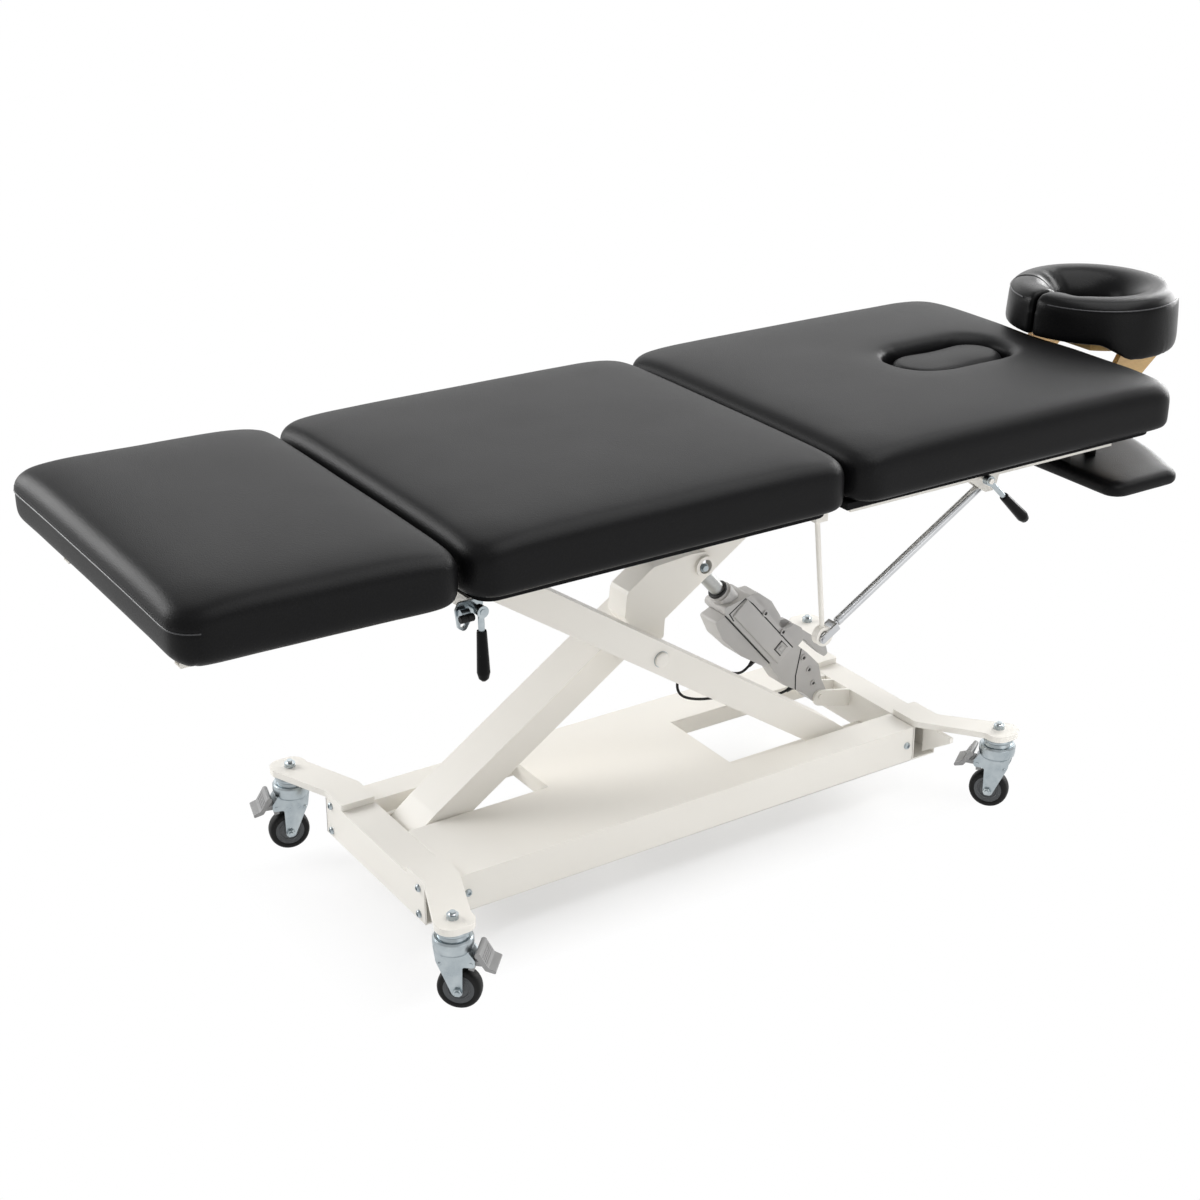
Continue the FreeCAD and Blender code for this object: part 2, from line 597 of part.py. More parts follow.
def scissor_arm(foot_x, rise, y0, width):
    half = ARM_HEIGHT / 2
    end = ARM_END_RADIUS
    reach = ARM_LENGTH
    shape = [(-end, end), (ARM_TAPER, half), (reach - ARM_TAPER, half), (reach + end, end),
             (reach + end, -end), (reach - ARM_TAPER, -half), (ARM_TAPER, -half), (-end, -end)]
    radii = [end - 0.5, 60.0, 60.0, end - 0.5, end - 0.5, 60.0, 60.0, end - 0.5]
    outer = side_plate([arm_point(foot_x, rise, u, h) for u, h in shape], radii, y0, y0 + width)
    inner_half = half - ARM_WALL
    hollow = [(ARM_TAPER, inner_half), (reach - ARM_TAPER, inner_half),
              (reach - ARM_TAPER, -inner_half), (ARM_TAPER, -inner_half)]
    cavity = [arm_point(foot_x, rise, u, h) for u, h in hollow]
    cavity = side_plate(cavity, [0] * 4, y0 + ARM_WALL, y0 + width - ARM_WALL)
    arm = outer.cut(cavity)
    bush_x, bush_z = arm_point(foot_x, rise, ARM_HALF_LENGTH, 0)
    arm = arm.fuse(cross_rod(bush_x, bush_z, y0, y0 + width, BUSH_RADIUS))
    for u in (0.0, ARM_HALF_LENGTH, reach):
        x, z = arm_point(foot_x, rise, u, 0)
        arm = arm.cut(cross_rod(x, z, y0 - 1, y0 + width + 1, SHAFT_RADIUS + RUNNING_FIT))
    for u in (ARM_TAPER + 60, reach - ARM_TAPER - 60):
        x0, z0 = arm_point(foot_x, rise, u, -half - 1)
        x1, z1 = arm_point(foot_x, rise, u, -half + ARM_WALL + 1)
        arm = arm.cut(rod((x0, y0 + width / 2, z0), (x1, y0 + width / 2, z1), 5.0))
    return arm


inner_far = INNER_ARM_Y + INNER_ARM_WIDTH
outer_far = OUTER_ARM_Y + OUTER_ARM_WIDTH
inner_arm = scissor_arm(LIFT_PIVOT_X, 1, INNER_ARM_Y, INNER_ARM_WIDTH)
outer_arm = scissor_arm(ROLLER_X, -1, OUTER_ARM_Y, OUTER_ARM_WIDTH)

# The rod eye enters the inner arm through a slot in its lower wall, and its pin passes hollow bosses
ACTUATOR_FOOT_X = HEAD_INNER - ACTUATOR_FOOT_SETBACK
ACTUATOR_FOOT_Z = BASE_TOP + ACTUATOR_FOOT_RISE
pin_x, pin_z = arm_point(LIFT_PIVOT_X, 1, ACTUATOR_PIN_ALONG, ACTUATOR_PIN_OFF)
axis_x = pin_x - ACTUATOR_FOOT_X
axis_z = pin_z - ACTUATOR_FOOT_Z
axis_length = math.hypot(axis_x, axis_z)
turn = PIN_REST_OFFSET / axis_length
unit_x = (axis_x * math.cos(turn) - axis_z * math.sin(turn)) / axis_length
unit_z = (axis_x * math.sin(turn) + axis_z * math.cos(turn)) / axis_length


def actuator_point(u, v):
    # u runs from the foot pin to the rod eye, v to the lower side where the motor sits.
    return (ACTUATOR_FOOT_X + u * unit_x - v * unit_z, ACTUATOR_FOOT_Z + u * unit_z + v * unit_x)


def arm_plate(points, radii, y0, y1):
    return side_plate([arm_point(LIFT_PIVOT_X, 1, u, h) for u, h in points], radii, y0, y1)


slot_half_width = ACTUATOR_ROD_RADIUS + 4.0
eye_x, eye_z = actuator_point(axis_length, 0)
eye_u = (eye_x - LIFT_PIVOT_X) * ARM_COS + (eye_z - LIFT_PIVOT_Z) * ARM_SIN
slot0, slot1 = eye_u - EYE_SLOT_HALF, eye_u + EYE_SLOT_HALF
eye_slot = arm_plate([(slot0, -ARM_HEIGHT), (slot1, -ARM_HEIGHT), (slot1, 0), (slot0, 0)], [0] * 4,
                     ACTUATOR_Y - slot_half_width, ACTUATOR_Y + slot_half_width)
pin_bore = cross_rod(pin_x, pin_z, INNER_ARM_Y - 40, inner_far + 40, PIN_BOSS_BORE)
inner_arm = inner_arm.cut(eye_slot).cut(pin_bore)

# Gooseneck: boxed bracket over the near side of the inner arm, carrying the actuator bosses
goose_near = INNER_ARM_Y - GOOSENECK_CHEEK
goose_far = goose_near + GOOSENECK_WIDTH
pin_u, pin_h = ACTUATOR_PIN_ALONG, ACTUATOR_PIN_OFF
goose_top = pin_h + 79.0
goose_start = pin_u - 177.0
goose_points = [(goose_start, pin_h + 43), (goose_start + 27, goose_top - 4), (pin_u - 143, goose_top),
                (pin_u - 79, goose_top), (pin_u - 6, pin_h + 38), (pin_u + 22, pin_h + 16),
                (pin_u + 12, pin_h - 20),
                (pin_u - 81, pin_h - 17), (pin_u - 116, pin_h - 23), (pin_u - 138, pin_h - 52),
                (goose_start, pin_h - 52)]
goose = arm_plate(goose_points, [4, 6, 4, 20, 20, 14, 14, 30, 16, 4, 4], goose_near, goose_far)
skin = GOOSENECK_CHEEK - 1.0
goose_inner = [(goose_start + skin, pin_h - 80), (goose_start + skin, pin_h + 42),
               (goose_start + 28 + skin / 2, goose_top - skin), (pin_u - 81, goose_top - skin),
               (pin_u - 8, pin_h + 31), (pin_u + 60, pin_h + 4), (pin_u + 60, pin_h - 80)]
goose = goose.cut(arm_plate(goose_inner, [0] * 7, INNER_ARM_Y, goose_far - GOOSENECK_CHEEK))
arm_block = arm_plate([(0, ARM_HEIGHT / 2), (ARM_LENGTH, ARM_HEIGHT / 2), (ARM_LENGTH, -3 * ARM_HEIGHT),
                       (0, -3 * ARM_HEIGHT)],
                      [0] * 4, INNER_ARM_Y, inner_far)
near_boss = cross_rod(pin_x, pin_z, goose_near - 7, INNER_ARM_Y, PIN_BOSS_RADIUS)
far_boss = cross_rod(pin_x, pin_z, inner_far, inner_far + GOOSENECK_CHEEK, PIN_BOSS_RADIUS)
spacer_room = cross_rod(CENTRE_X, CENTRE_Z, goose_near - 1, INNER_ARM_Y, BUSH_RADIUS + 2)
goose = goose.cut(arm_block).cut(spacer_room).fuse(near_boss).cut(pin_bore).removeSplitter()
save("gooseneck_bracket", [goose, far_boss.cut(pin_bore)])

# Shafts: the foot pivot stays with the base, the middle and top shafts with the outer arm
foot_pivot = cross_rod(LIFT_PIVOT_X, LIFT_PIVOT_Z, INNER_ARM_Y - PIVOT_LUG, inner_far + PIVOT_LUG,
                       SHAFT_RADIUS)
lug_half = ARM_LUG_HALF
pivot_lugs = []
for y0, y1 in ((INNER_ARM_Y - PIVOT_LUG, INNER_ARM_Y - TURN_CLEARANCE),
               (inner_far + TURN_CLEARANCE, inner_far + PIVOT_LUG)):
    lug_points = [(FOOT_INNER, LIFT_PIVOT_Z - lug_half), (LIFT_PIVOT_X + lug_half, LIFT_PIVOT_Z - lug_half),
                  (LIFT_PIVOT_X + lug_half, LIFT_PIVOT_Z + lug_half), (FOOT_INNER, LIFT_PIVOT_Z + lug_half)]
    pivot_lugs.append(side_plate(lug_points, [0, lug_half - 1, lug_half - 1, 0], y0, y1))
lift_pivot = joined([foot_pivot] + pivot_lugs)

middle_shaft = cross_rod(CENTRE_X, CENTRE_Z, OUTER_ARM_Y, inner_far + 5, SHAFT_RADIUS)
near_cap = cross_rod(CENTRE_X, CENTRE_Z, OUTER_ARM_Y - 5, OUTER_ARM_Y, PIVOT_CAP_RADIUS)
far_cap = cross_rod(CENTRE_X, CENTRE_Z, inner_far + TURN_CLEARANCE, inner_far + 5, PIVOT_CAP_RADIUS)
spacer = cross_rod(CENTRE_X, CENTRE_Z, outer_far, INNER_ARM_Y - TURN_CLEARANCE, BUSH_RADIUS)
roller_shaft = cross_rod(ROLLER_X, LIFT_PIVOT_Z, OUTER_ARM_Y - ROLLER_WIDTH - ROLLER_GAP,
                         outer_far + ROLLER_WIDTH + ROLLER_GAP, SHAFT_RADIUS)
save("outer_arm", joined([outer_arm, near_cap]))
save("outer_arm_shafts", [joined([middle_shaft, far_cap, spacer]), roller_shaft])
upper_shaft = cross_rod(ROLLER_X, UPPER_PIVOT_Z, INNER_ARM_Y - ROLLER_WIDTH - ROLLER_GAP,
                        inner_far + ROLLER_WIDTH + ROLLER_GAP, SHAFT_RADIUS)
save("inner_arm", [inner_arm, upper_shaft])


def roller_pair(z, y0, y1):
    rollers = []
    for start in (y0 - ROLLER_GAP / 2 - ROLLER_WIDTH, y1 + ROLLER_GAP / 2):
        wheel = cross_rod(ROLLER_X, z, start, start + ROLLER_WIDTH, ROLLER_RADIUS)
        rollers.append(wheel.cut(cross_rod(ROLLER_X, z, start - 1, start + ROLLER_WIDTH + 1,
                                           SHAFT_RADIUS + RUNNING_FIT)))
    return rollers


save("lower_rollers", roller_pair(LIFT_PIVOT_Z, OUTER_ARM_Y, outer_far))
save("upper_rollers", roller_pair(UPPER_PIVOT_Z, INNER_ARM_Y, inner_far))

# Tracks the lower rollers run on, seated in the head opening of the deck
track_top = LIFT_PIVOT_Z - ROLLER_RADIUS - TURN_CLEARANCE
track_x0 = head_open[0] - SHEET
tracks = []
for y0 in (OUTER_ARM_Y - ROLLER_GAP - ROLLER_WIDTH - 1, outer_far + ROLLER_GAP / 2 - 0.5):
    strip = box(track_x0, HEAD_INNER, y0, y0 + ROLLER_WIDTH + 3, track_top - TRACK_THICKNESS, track_top)
    post = box(track_x0, track_x0 + SHEET, y0, y0 + ROLLER_WIDTH + 3, track_top, BASE_TOP - OPENING_FLANGE)
    tracks.append(joined([strip, post]))
save("roller_tracks", tracks)

# Actuator foot bracket on the head beam
foot_lugs = []
lug_start = FOOT_HALF + TURN_CLEARANCE
lug_end = FOOT_HALF + FOOT_LUG
for y0, y1 in ((ACTUATOR_Y - lug_end, ACTUATOR_Y - lug_start),
               (ACTUATOR_Y + lug_start, ACTUATOR_Y + lug_end)):
    lug_points = [(HEAD_INNER, ACTUATOR_FOOT_Z - 40), (ACTUATOR_FOOT_X - 16, ACTUATOR_FOOT_Z - 16),
                  (ACTUATOR_FOOT_X - 16, ACTUATOR_FOOT_Z + 16), (HEAD_INNER, BASE_TOP)]
    foot_lugs.append(side_plate(lug_points, [0, 14, 14, 0], y0, y1))
foot_pin = cross_rod(ACTUATOR_FOOT_X, ACTUATOR_FOOT_Z, ACTUATOR_Y - lug_end - 3, ACTUATOR_Y + lug_end + 3,
                     FOOT_PIN_RADIUS)
save("lift_brackets", [lift_pivot, joined(foot_lugs + [foot_pin])])


# Actuator: gear foot, spindle housing with its bore, motor cover, release paddle and rod
def actuator_plate(points, radii, y0, y1):
    return side_plate([actuator_point(u, v) for u, v in points], radii, y0, y1)


def actuator_rod(u0, u1, radius):
    x0, z0 = actuator_point(u0, 0)
    x1, z1 = actuator_point(u1, 0)
    return rod((x0, ACTUATOR_Y, z0), (x1, ACTUATOR_Y, z1), radius)


act_half = ACTUATOR_DEPTH / 2
side = HOUSING_SIDE
start = HOUSING_START
short_end, long_end = HOUSING_SHORT_END, HOUSING_LONG_END
middle_end = (short_end + long_end) / 2
foot_outline = [(start + 10, side - 4), (start - 54, side + 4), (40, 20), (-15, 15), (-15, -15), (24, -26),
                (56, -42),
                (100, -40), (start + 10, 2 - side)]
gear_foot = actuator_plate(foot_outline, [0, 14, 20, 14, 14, 16, 12, 20, 0], ACTUATOR_Y - FOOT_HALF,
                           ACTUATOR_Y + FOOT_HALF)
shell = actuator_plate([(start, side - 6), (start, -side), (short_end, -side), (long_end, side - 6)],
                       [14, 10, 9, 9],
                       ACTUATOR_Y - act_half, ACTUATOR_Y + act_half)
barrel = actuator_plate([(short_end - 12, 1 - side), (short_end - 26, -side - 16),
                         (short_end - 66, -side - 24),
                         (start + 56, -side - 17), (start + 44, 1 - side)], [0, 10, 12, 12, 0],
                        ACTUATOR_Y - 14, ACTUATOR_Y + 26)
collar = actuator_rod(middle_end - 14, middle_end + COLLAR_LENGTH, ACTUATOR_ROD_RADIUS + 9)
collar_lip = actuator_rod(middle_end + COLLAR_LENGTH, middle_end + COLLAR_LENGTH + 6, ACTUATOR_ROD_RADIUS + 5)
ear_outline = [(128, -30), (128, -52), (150, -66), (172, -60), (186, 2 - side)]
ears = [actuator_plate(ear_outline, [0, 6, 10, 6, 0], ACTUATOR_Y + y0, ACTUATOR_Y + y0 + 8) for y0 in (-20,
                                                                                                       12)]
housing = joined([gear_foot, shell, barrel, collar, collar_lip] + ears)
housing = housing.cut(actuator_rod(ROD_BORE_START, axis_length, ACTUATOR_ROD_RADIUS + TURN_CLEARANCE))
foot_bore = cross_rod(ACTUATOR_FOOT_X, ACTUATOR_FOOT_Z, ACTUATOR_Y - 60, ACTUATOR_Y + 60,
                      FOOT_PIN_RADIUS + RUNNING_FIT)
paddle_x, paddle_z = actuator_point(start, -55)
paddle_pin = cross_rod(paddle_x, paddle_z, ACTUATOR_Y - 20, ACTUATOR_Y + 20, PADDLE_PIN_RADIUS)
housing = housing.cut(foot_bore).fuse(paddle_pin).removeSplitter()

motor_side = side - 6
motor = actuator_plate([(start + 14, motor_side), (long_end - 22, motor_side),
                        (long_end - 14, motor_side + 24),
                        (long_end - 56, motor_side + 36), (start + 86, motor_side + 32),
                        (start + 14, motor_side + 12)],
                       [3, 3, 5, 20, 24, 5], ACTUATOR_Y - act_half + 6, ACTUATOR_Y + act_half - 8)

paddle_half = PADDLE_WIDTH / 2
paddle_outline = [(158, -50), (158, -62), (112, -72), (62, -80), (44, -72), (46, -62), (84, -58),
                  (128, -54.5), (142, -47)]
paddle = actuator_plate(paddle_outline, [5, 5, 20, 8, 5, 6, 14, 14, 5], ACTUATOR_Y - paddle_half,
                        ACTUATOR_Y + paddle_half)
paddle_bore = cross_rod(paddle_x, paddle_z, ACTUATOR_Y - 30, ACTUATOR_Y + 30, PADDLE_PIN_RADIUS + RUNNING_FIT)
save("release_paddle", paddle.cut(paddle_bore))

eye = cross_rod(eye_x, eye_z, ACTUATOR_Y - EYE_WIDTH / 2, ACTUATOR_Y + EYE_WIDTH / 2, EYE_RADIUS)
eye_pin = cross_rod(eye_x, eye_z, goose_near - 4, inner_far + 6, PIN_RADIUS)
piston = actuator_rod(ROD_BORE_START + ROD_RETRACT, axis_length - 4, ACTUATOR_ROD_RADIUS)
save("actuator_rod", joined([piston, eye, eye_pin]))

# Motor cable: slack loop from the motor cover past the outer arm and back to the gear foot
cable_path = [(192, 41, 22), (203, 66, 10), (222, 89, -2), (268, 109, -10), (316, 126, -15), (352, 152, -17),
              (349, 185, -17),
              (318, 200, -16), (273, 180, -13), (224, 142, -8), (170, 103, 0), (116, 74, 8), (80, 50, 17),
              (62, 20, 24)]
cable_points = []
for u, v, y in cable_path:
    x, z = actuator_point(u, v)
    cable_points.append(V(along(x), y, z))


def cord(points, radius):
    edges = []
    bends = []
    last = points[0]
    for i in range(1, len(points) - 1):
        back = points[i - 1] - points[i]
        ahead = points[i + 1] - points[i]
        shorter = min(back.Length, ahead.Length)
        back.normalize()
        ahead.normalize()
        half_turn = (math.pi - back.getAngle(ahead)) / 2
        reach = 0.45 * shorter
        bend = reach / math.tan(half_turn)
        bends.append(round(bend, 1))
        middle = back + ahead
        middle.normalize()
        mid = points[i] + middle * (bend / math.cos(half_turn) - bend)
        start = points[i] + back * reach
        end = points[i] + ahead * reach
        edges.append(Part.LineSegment(last, start).toShape())
        edges.append(Part.Arc(start, mid, end).toShape())
        last = end
    edges.append(Part.LineSegment(last, points[-1]).toShape())
    print("cable bend radii", bends)
    path = Part.Wire(edges)
    section = Part.Wire(Part.makeCircle(radius, points[0], points[1] - points[0]))
    return path.makePipeShell([section], True, True)


motor_cable = cord(cable_points, CABLE_RADIUS)
save("motor_cable", motor_cable)
save("actuator_housing", housing.cut(motor_cable))
save("motor_cover", motor.cut(motor_cable))

# Upper frame under the seat, carried on past the seat to hold the upper roller tracks
rail_far = HALF_WIDTH - RAIL_INSET
rail_near = rail_far - RAIL_WIDTH
frame_top = BOARD_BOTTOM
late_top = BACK_BOARD_BOTTOM - 3.0
leg_pin_x = LEG_END + SECTION_GAP / 2
leg_pin_z = BOARD_BOTTOM - LEG_PIN_DROP
rail_start = leg_pin_x + 16.0
frame_end = ROLLER_X + 145.0
tie_start = SEAT_END + LEAF_SETBACK - CROSS_WIDTH
cross_bottom = frame_top - CROSS_HEIGHT
frame = []
for side in (-1, 1):
    y0, y1 = (rail_near, rail_far) if side > 0 else (-rail_far, -rail_near)
    rail = hollow_x(rail_start, tie_start + CROSS_WIDTH, y0, y1, frame_top - RAIL_HEIGHT, frame_top,
                    RAIL_WALL)
    late = hollow_x(tie_start + CROSS_WIDTH, frame_end, y0, y1, frame_top - RAIL_HEIGHT, late_top, RAIL_WALL)
    ear = cross_rod(leg_pin_x, leg_pin_z, y0, y1, LEG_EAR_RADIUS)
    neck = box(leg_pin_x, rail_start, y0, y1, leg_pin_z - LEG_EAR_RADIUS, leg_pin_z + LEG_EAR_RADIUS)
    plug_end = box(rail_start, rail_start + 6, y0, y1, frame_top - RAIL_HEIGHT, frame_top)
    pin_y0 = y0 - (LEG_RAIL_WIDTH + 4 if side < 0 else 0)
    pin_y1 = y1 + (LEG_RAIL_WIDTH + 4 if side > 0 else 0)
    pin = cross_rod(leg_pin_x, leg_pin_z, pin_y0, pin_y1, LEG_PIN_RADIUS)
    frame.extend([rail, late, ear, neck, plug_end, pin])
strut_y = HALF_WIDTH - BACK_RAIL_INSET
wing = strut_y + CROSS_WIDTH / 2
foot_cross = rail_start + 8.0
lever_wing = LEVER_OVERHANG - 28.0
frame.append(hollow_y(foot_cross, foot_cross + CROSS_WIDTH, -rail_near, rail_near, cross_bottom, frame_top,
                      RAIL_WALL))
frame.append(box(foot_cross, foot_cross + CROSS_WIDTH, -lever_wing, -rail_far, cross_bottom, frame_top))
middle_cross = (SEAT_START + SEAT_END) / 2
frame.append(hollow_y(middle_cross, middle_cross + CROSS_WIDTH, -rail_near, rail_near, cross_bottom,
                      frame_top, RAIL_WALL))
frame.append(hollow_y(tie_start, tie_start + CROSS_WIDTH, -rail_near, rail_near, cross_bottom, frame_top,
                      RAIL_WALL))
frame.append(hollow_y(frame_end - CROSS_WIDTH, frame_end, -rail_near, rail_near, cross_bottom, late_top,
                      RAIL_WALL))
for side in (-1, 1):
    y0, y1 = (rail_far, wing) if side > 0 else (-wing, -rail_far)
    frame.append(box(tie_start, tie_start + CROSS_WIDTH, y0, y1, cross_bottom, frame_top))
# Lugs for the top of the outer arm
for y0, y1 in ((OUTER_ARM_Y - 8, OUTER_ARM_Y - TURN_CLEARANCE), (outer_far + TURN_CLEARANCE, outer_far + 8)):
    lug_points = [(foot_cross + CROSS_WIDTH, UPPER_PIVOT_Z - 18), (LIFT_PIVOT_X + 20, UPPER_PIVOT_Z - 20),
                  (LIFT_PIVOT_X + 20, frame_top), (foot_cross + CROSS_WIDTH, frame_top)]
    frame.append(side_plate(lug_points, [0, 18, 0, 0], y0, y1))
frame.append(cross_rod(LIFT_PIVOT_X, UPPER_PIVOT_Z, OUTER_ARM_Y - 8, outer_far + 8, SHAFT_RADIUS))
# Tracks that rest on the upper rollers
upper_track_bottom = UPPER_PIVOT_Z + ROLLER_RADIUS + TURN_CLEARANCE
for y0 in (INNER_ARM_Y - ROLLER_GAP - ROLLER_WIDTH - 1, inner_far + ROLLER_GAP / 2 - 0.5):
    frame.append(box(tie_start, frame_end, y0, y0 + ROLLER_WIDTH + 3, upper_track_bottom, late_top))
save("upper_frame", joined(frame))

# Strut hangers: a slim rod down from the frame's wing to a ring
strut_top = (SEAT_END + STRUT_TOP_X, BACK_BOARD_BOTTOM - STRUT_TOP_DROP)
strut_foot = (SEAT_END + STRUT_FOOT_X, strut_top[1] - STRUT_FOOT_DROP)
strut_length = math.hypot(strut_top[0] - strut_foot[0], strut_top[1] - strut_foot[1])
strut_ux = (strut_foot[0] - strut_top[0]) / strut_length
strut_uz = (strut_foot[1] - strut_top[1]) / strut_length
hanger_x = tie_start + CROSS_WIDTH / 2
foot_plate = box(tie_start, tie_start + CROSS_WIDTH, -wing, -strut_y + CROSS_WIDTH / 2,
                 cross_bottom - HANGER_FOOT, cross_bottom)
hanger_rod = rod((hanger_x, -strut_y, cross_bottom - HANGER_FOOT), (strut_foot[0], -strut_y, strut_foot[1]),
                 HANGER_ROD_RADIUS)
hanger_ring = cross_rod(strut_foot[0], strut_foot[1], -strut_y - HANGER_RING_WIDTH / 2,
                        -strut_y + HANGER_RING_WIDTH / 2,
                        HANGER_RING_RADIUS)
ring_bore = cross_rod(strut_foot[0], strut_foot[1], -strut_y - 30, -strut_y + 30, HANGER_RING_BORE)
hanger = joined([foot_plate, hanger_rod, hanger_ring]).cut(ring_bore)
save("strut_hangers", [hanger, mirrored(hanger)])


def strut_point(u):
    return (strut_top[0] + u * strut_ux, strut_top[1] + u * strut_uz)


def strut_bar(u0, u1, radius):
    x0, z0 = strut_point(u0)
    x1, z1 = strut_point(u1)
    return rod((x0, -strut_y, z0), (x1, -strut_y, z1), radius)


strut_pin_u = strut_length + STRUT_REST_OFFSET
strut_pin_x, strut_pin_z = strut_point(strut_pin_u)
fork_start = strut_pin_u - STRUT_FORK_NECK
tube = joined([strut_bar(STRUT_EYE_RADIUS - 3, fork_start - 10, STRUT_TUBE_RADIUS),
               cross_rod(strut_top[0], strut_top[1], -strut_y - 7, -strut_y + 7, STRUT_EYE_RADIUS)])
tube = tube.cut(strut_bar(46, strut_pin_u, STRUT_ROD_RADIUS + TURN_CLEARANCE))
tube = tube.cut(cross_rod(strut_top[0], strut_top[1], -strut_y - 20, -strut_y + 20, PIN_RADIUS + RUNNING_FIT))
fork_half = HANGER_RING_WIDTH / 2 + 1.0
fork_outer = fork_half + STRUT_EAR
side_x, side_z = -strut_uz * STRUT_EAR_HALF, strut_ux * STRUT_EAR_HALF


def strut_plate(start, end, y0, y1):
    corners = [(start[0] + side_x, start[1] + side_z), (end[0] + side_x, end[1] + side_z),
               (end[0] - side_x, end[1] - side_z), (start[0] - side_x, start[1] - side_z)]
    return side_plate(corners, [0] * 4, -strut_y + y0, -strut_y + y1)


fork = [strut_bar(60, fork_start, STRUT_ROD_RADIUS)]
fork.append(strut_plate(strut_point(fork_start - 5), strut_point(fork_start), -fork_outer, fork_outer))
for y0, y1 in ((-fork_outer, -fork_half), (fork_half, fork_outer)):
    fork.append(strut_plate(strut_point(fork_start - 5), (strut_pin_x, strut_pin_z), y0, y1))
    fork.append(cross_rod(strut_pin_x, strut_pin_z, -strut_y + y0, -strut_y + y1, STRUT_EAR_HALF))
fork.append(cross_rod(strut_pin_x, strut_pin_z, -strut_y - fork_outer - 2, -strut_y + fork_outer + 2,
                      STRUT_PIN_RADIUS))
strut_rod = joined(fork)
save("strut_tube_near", tube)
save("strut_tube_far", mirrored(tube))
save("strut_rod_near", strut_rod)
save("strut_rod_far", mirrored(strut_rod))

# Back frame: two rails with strut clevises and lever shaft, cradle sockets
back_rails = []
back_rail_bottom = BACK_BOARD_BOTTOM - CROSS_HEIGHT
rail_x0 = BACK_START + LEAF_FOOT + 2.0
lever_pin = (strut_top[0] - 38.0, back_rail_bottom + CROSS_HEIGHT / 2)
for side in (-1, 1):
    y0, y1 = side * strut_y - BACK_RAIL_WIDTH / 2, side * strut_y + BACK_RAIL_WIDTH / 2
    parts = [hollow_x(rail_x0, rail_x0 + BACK_RAIL_LENGTH, y0, y1, back_rail_bottom, BACK_BOARD_BOTTOM,
                      RAIL_WALL)]
    for p0, p1 in ((y0, y0 + 4.0), (y1 - 4.0, y1)):
        plate_points = [(strut_top[0] - 46, back_rail_bottom), (strut_top[0] - 8, strut_top[1] - 15),
                        (strut_top[0] + 14, strut_top[1] - 15), (strut_top[0] + 22, back_rail_bottom)]
        parts.append(side_plate(plate_points, [0, 12, 10, 0], p0, p1))
    parts.append(cross_rod(strut_top[0], strut_top[1], y0 - 2, y1 + 2, PIN_RADIUS))
    if side < 0:
        lever_end = -LEVER_OVERHANG - LEVER_HUB_WIDTH / 2 - 3
        parts.append(cross_rod(lever_pin[0], lever_pin[1], lever_end, y0 + 2, LEVER_PIN_RADIUS))
    back_rails.append(joined(parts))
save("back_rails", back_rails)

socket_z = BACK_BOARD_BOTTOM - POST_RADIUS - SOCKET_WALL
sockets = []
for side in (-1, 1):
    y = side * POST_SPACING / 2
    body = rod((BACK_END - BOARD_INSET - SOCKET_LENGTH, y, socket_z), (BACK_END - BOARD_INSET, y, socket_z),
               POST_RADIUS + SOCKET_WALL)
    saddle = box(BACK_END - BOARD_INSET - SOCKET_LENGTH, BACK_END - BOARD_INSET, y - 20, y + 20,
                 BACK_BOARD_BOTTOM - 4, BACK_BOARD_BOTTOM)
    bore = rod((BACK_END - BOARD_INSET - SOCKET_LENGTH - 1, y, socket_z),
               (BACK_END - BOARD_INSET + 1, y, socket_z),
               POST_RADIUS + POST_FIT)
    sockets.append(joined([body, saddle]).cut(bore))
save("cradle_sockets", sockets)

# Hinges in the gap: knuckles near the top of the cushions so that they don't pinch
hinge_x = SEAT_END + SECTION_GAP / 2
fixed_leaves = []
moving_leaves = []
neck_z = BACK_HINGE_Z - KNUCKLE_RADIUS - 2.0
inner_knuckle = HINGE_WIDTH / 6
for y in HINGE_PLACES:
    x0 = SEAT_END + LEAF_SETBACK
    leaf = [box(x0, x0 + HINGE_SHEET, y - HINGE_WIDTH / 2, y + HINGE_WIDTH / 2, cross_bottom, neck_z)]
    for k0, k1 in ((y - HINGE_WIDTH / 2, y - inner_knuckle), (y + inner_knuckle, y + HINGE_WIDTH / 2)):
        leaf.append(box(x0, x0 + HINGE_SHEET, k0, k1, neck_z, BACK_HINGE_Z))
        leaf.append(cross_rod(hinge_x, BACK_HINGE_Z, k0, k1, KNUCKLE_RADIUS))
    leaf.append(cross_rod(hinge_x, BACK_HINGE_Z, y - HINGE_WIDTH / 2, y + HINGE_WIDTH / 2, HINGE_PIN_RADIUS))
    fixed_leaves.append(joined(leaf))
    x1 = back_board_start
    k0, k1 = y - inner_knuckle + TURN_CLEARANCE, y + inner_knuckle - TURN_CLEARANCE
    y0, y1 = y - HINGE_WIDTH / 2, y + HINGE_WIDTH / 2
    moving = [box(x1 - HINGE_SHEET, x1, y0, y1, BACK_BOARD_BOTTOM - HINGE_SHEET, neck_z),
              box(x1 - HINGE_SHEET, x1, k0, k1, neck_z, BACK_HINGE_Z),
              box(x1 - HINGE_SHEET, x1 + LEAF_FOOT, y0, y1, BACK_BOARD_BOTTOM - HINGE_SHEET,
                  BACK_BOARD_BOTTOM),
              cross_rod(hinge_x, BACK_HINGE_Z, k0, k1, KNUCKLE_RADIUS)]
    knuckle_bore = cross_rod(hinge_x, BACK_HINGE_Z, k0 - 1, k1 + 1, HINGE_PIN_RADIUS + RUNNING_FIT)
    moving_leaves.append(joined(moving).cut(knuckle_bore))
save("seat_hinge_leaves", fixed_leaves)
save("back_hinge_leaves", moving_leaves)

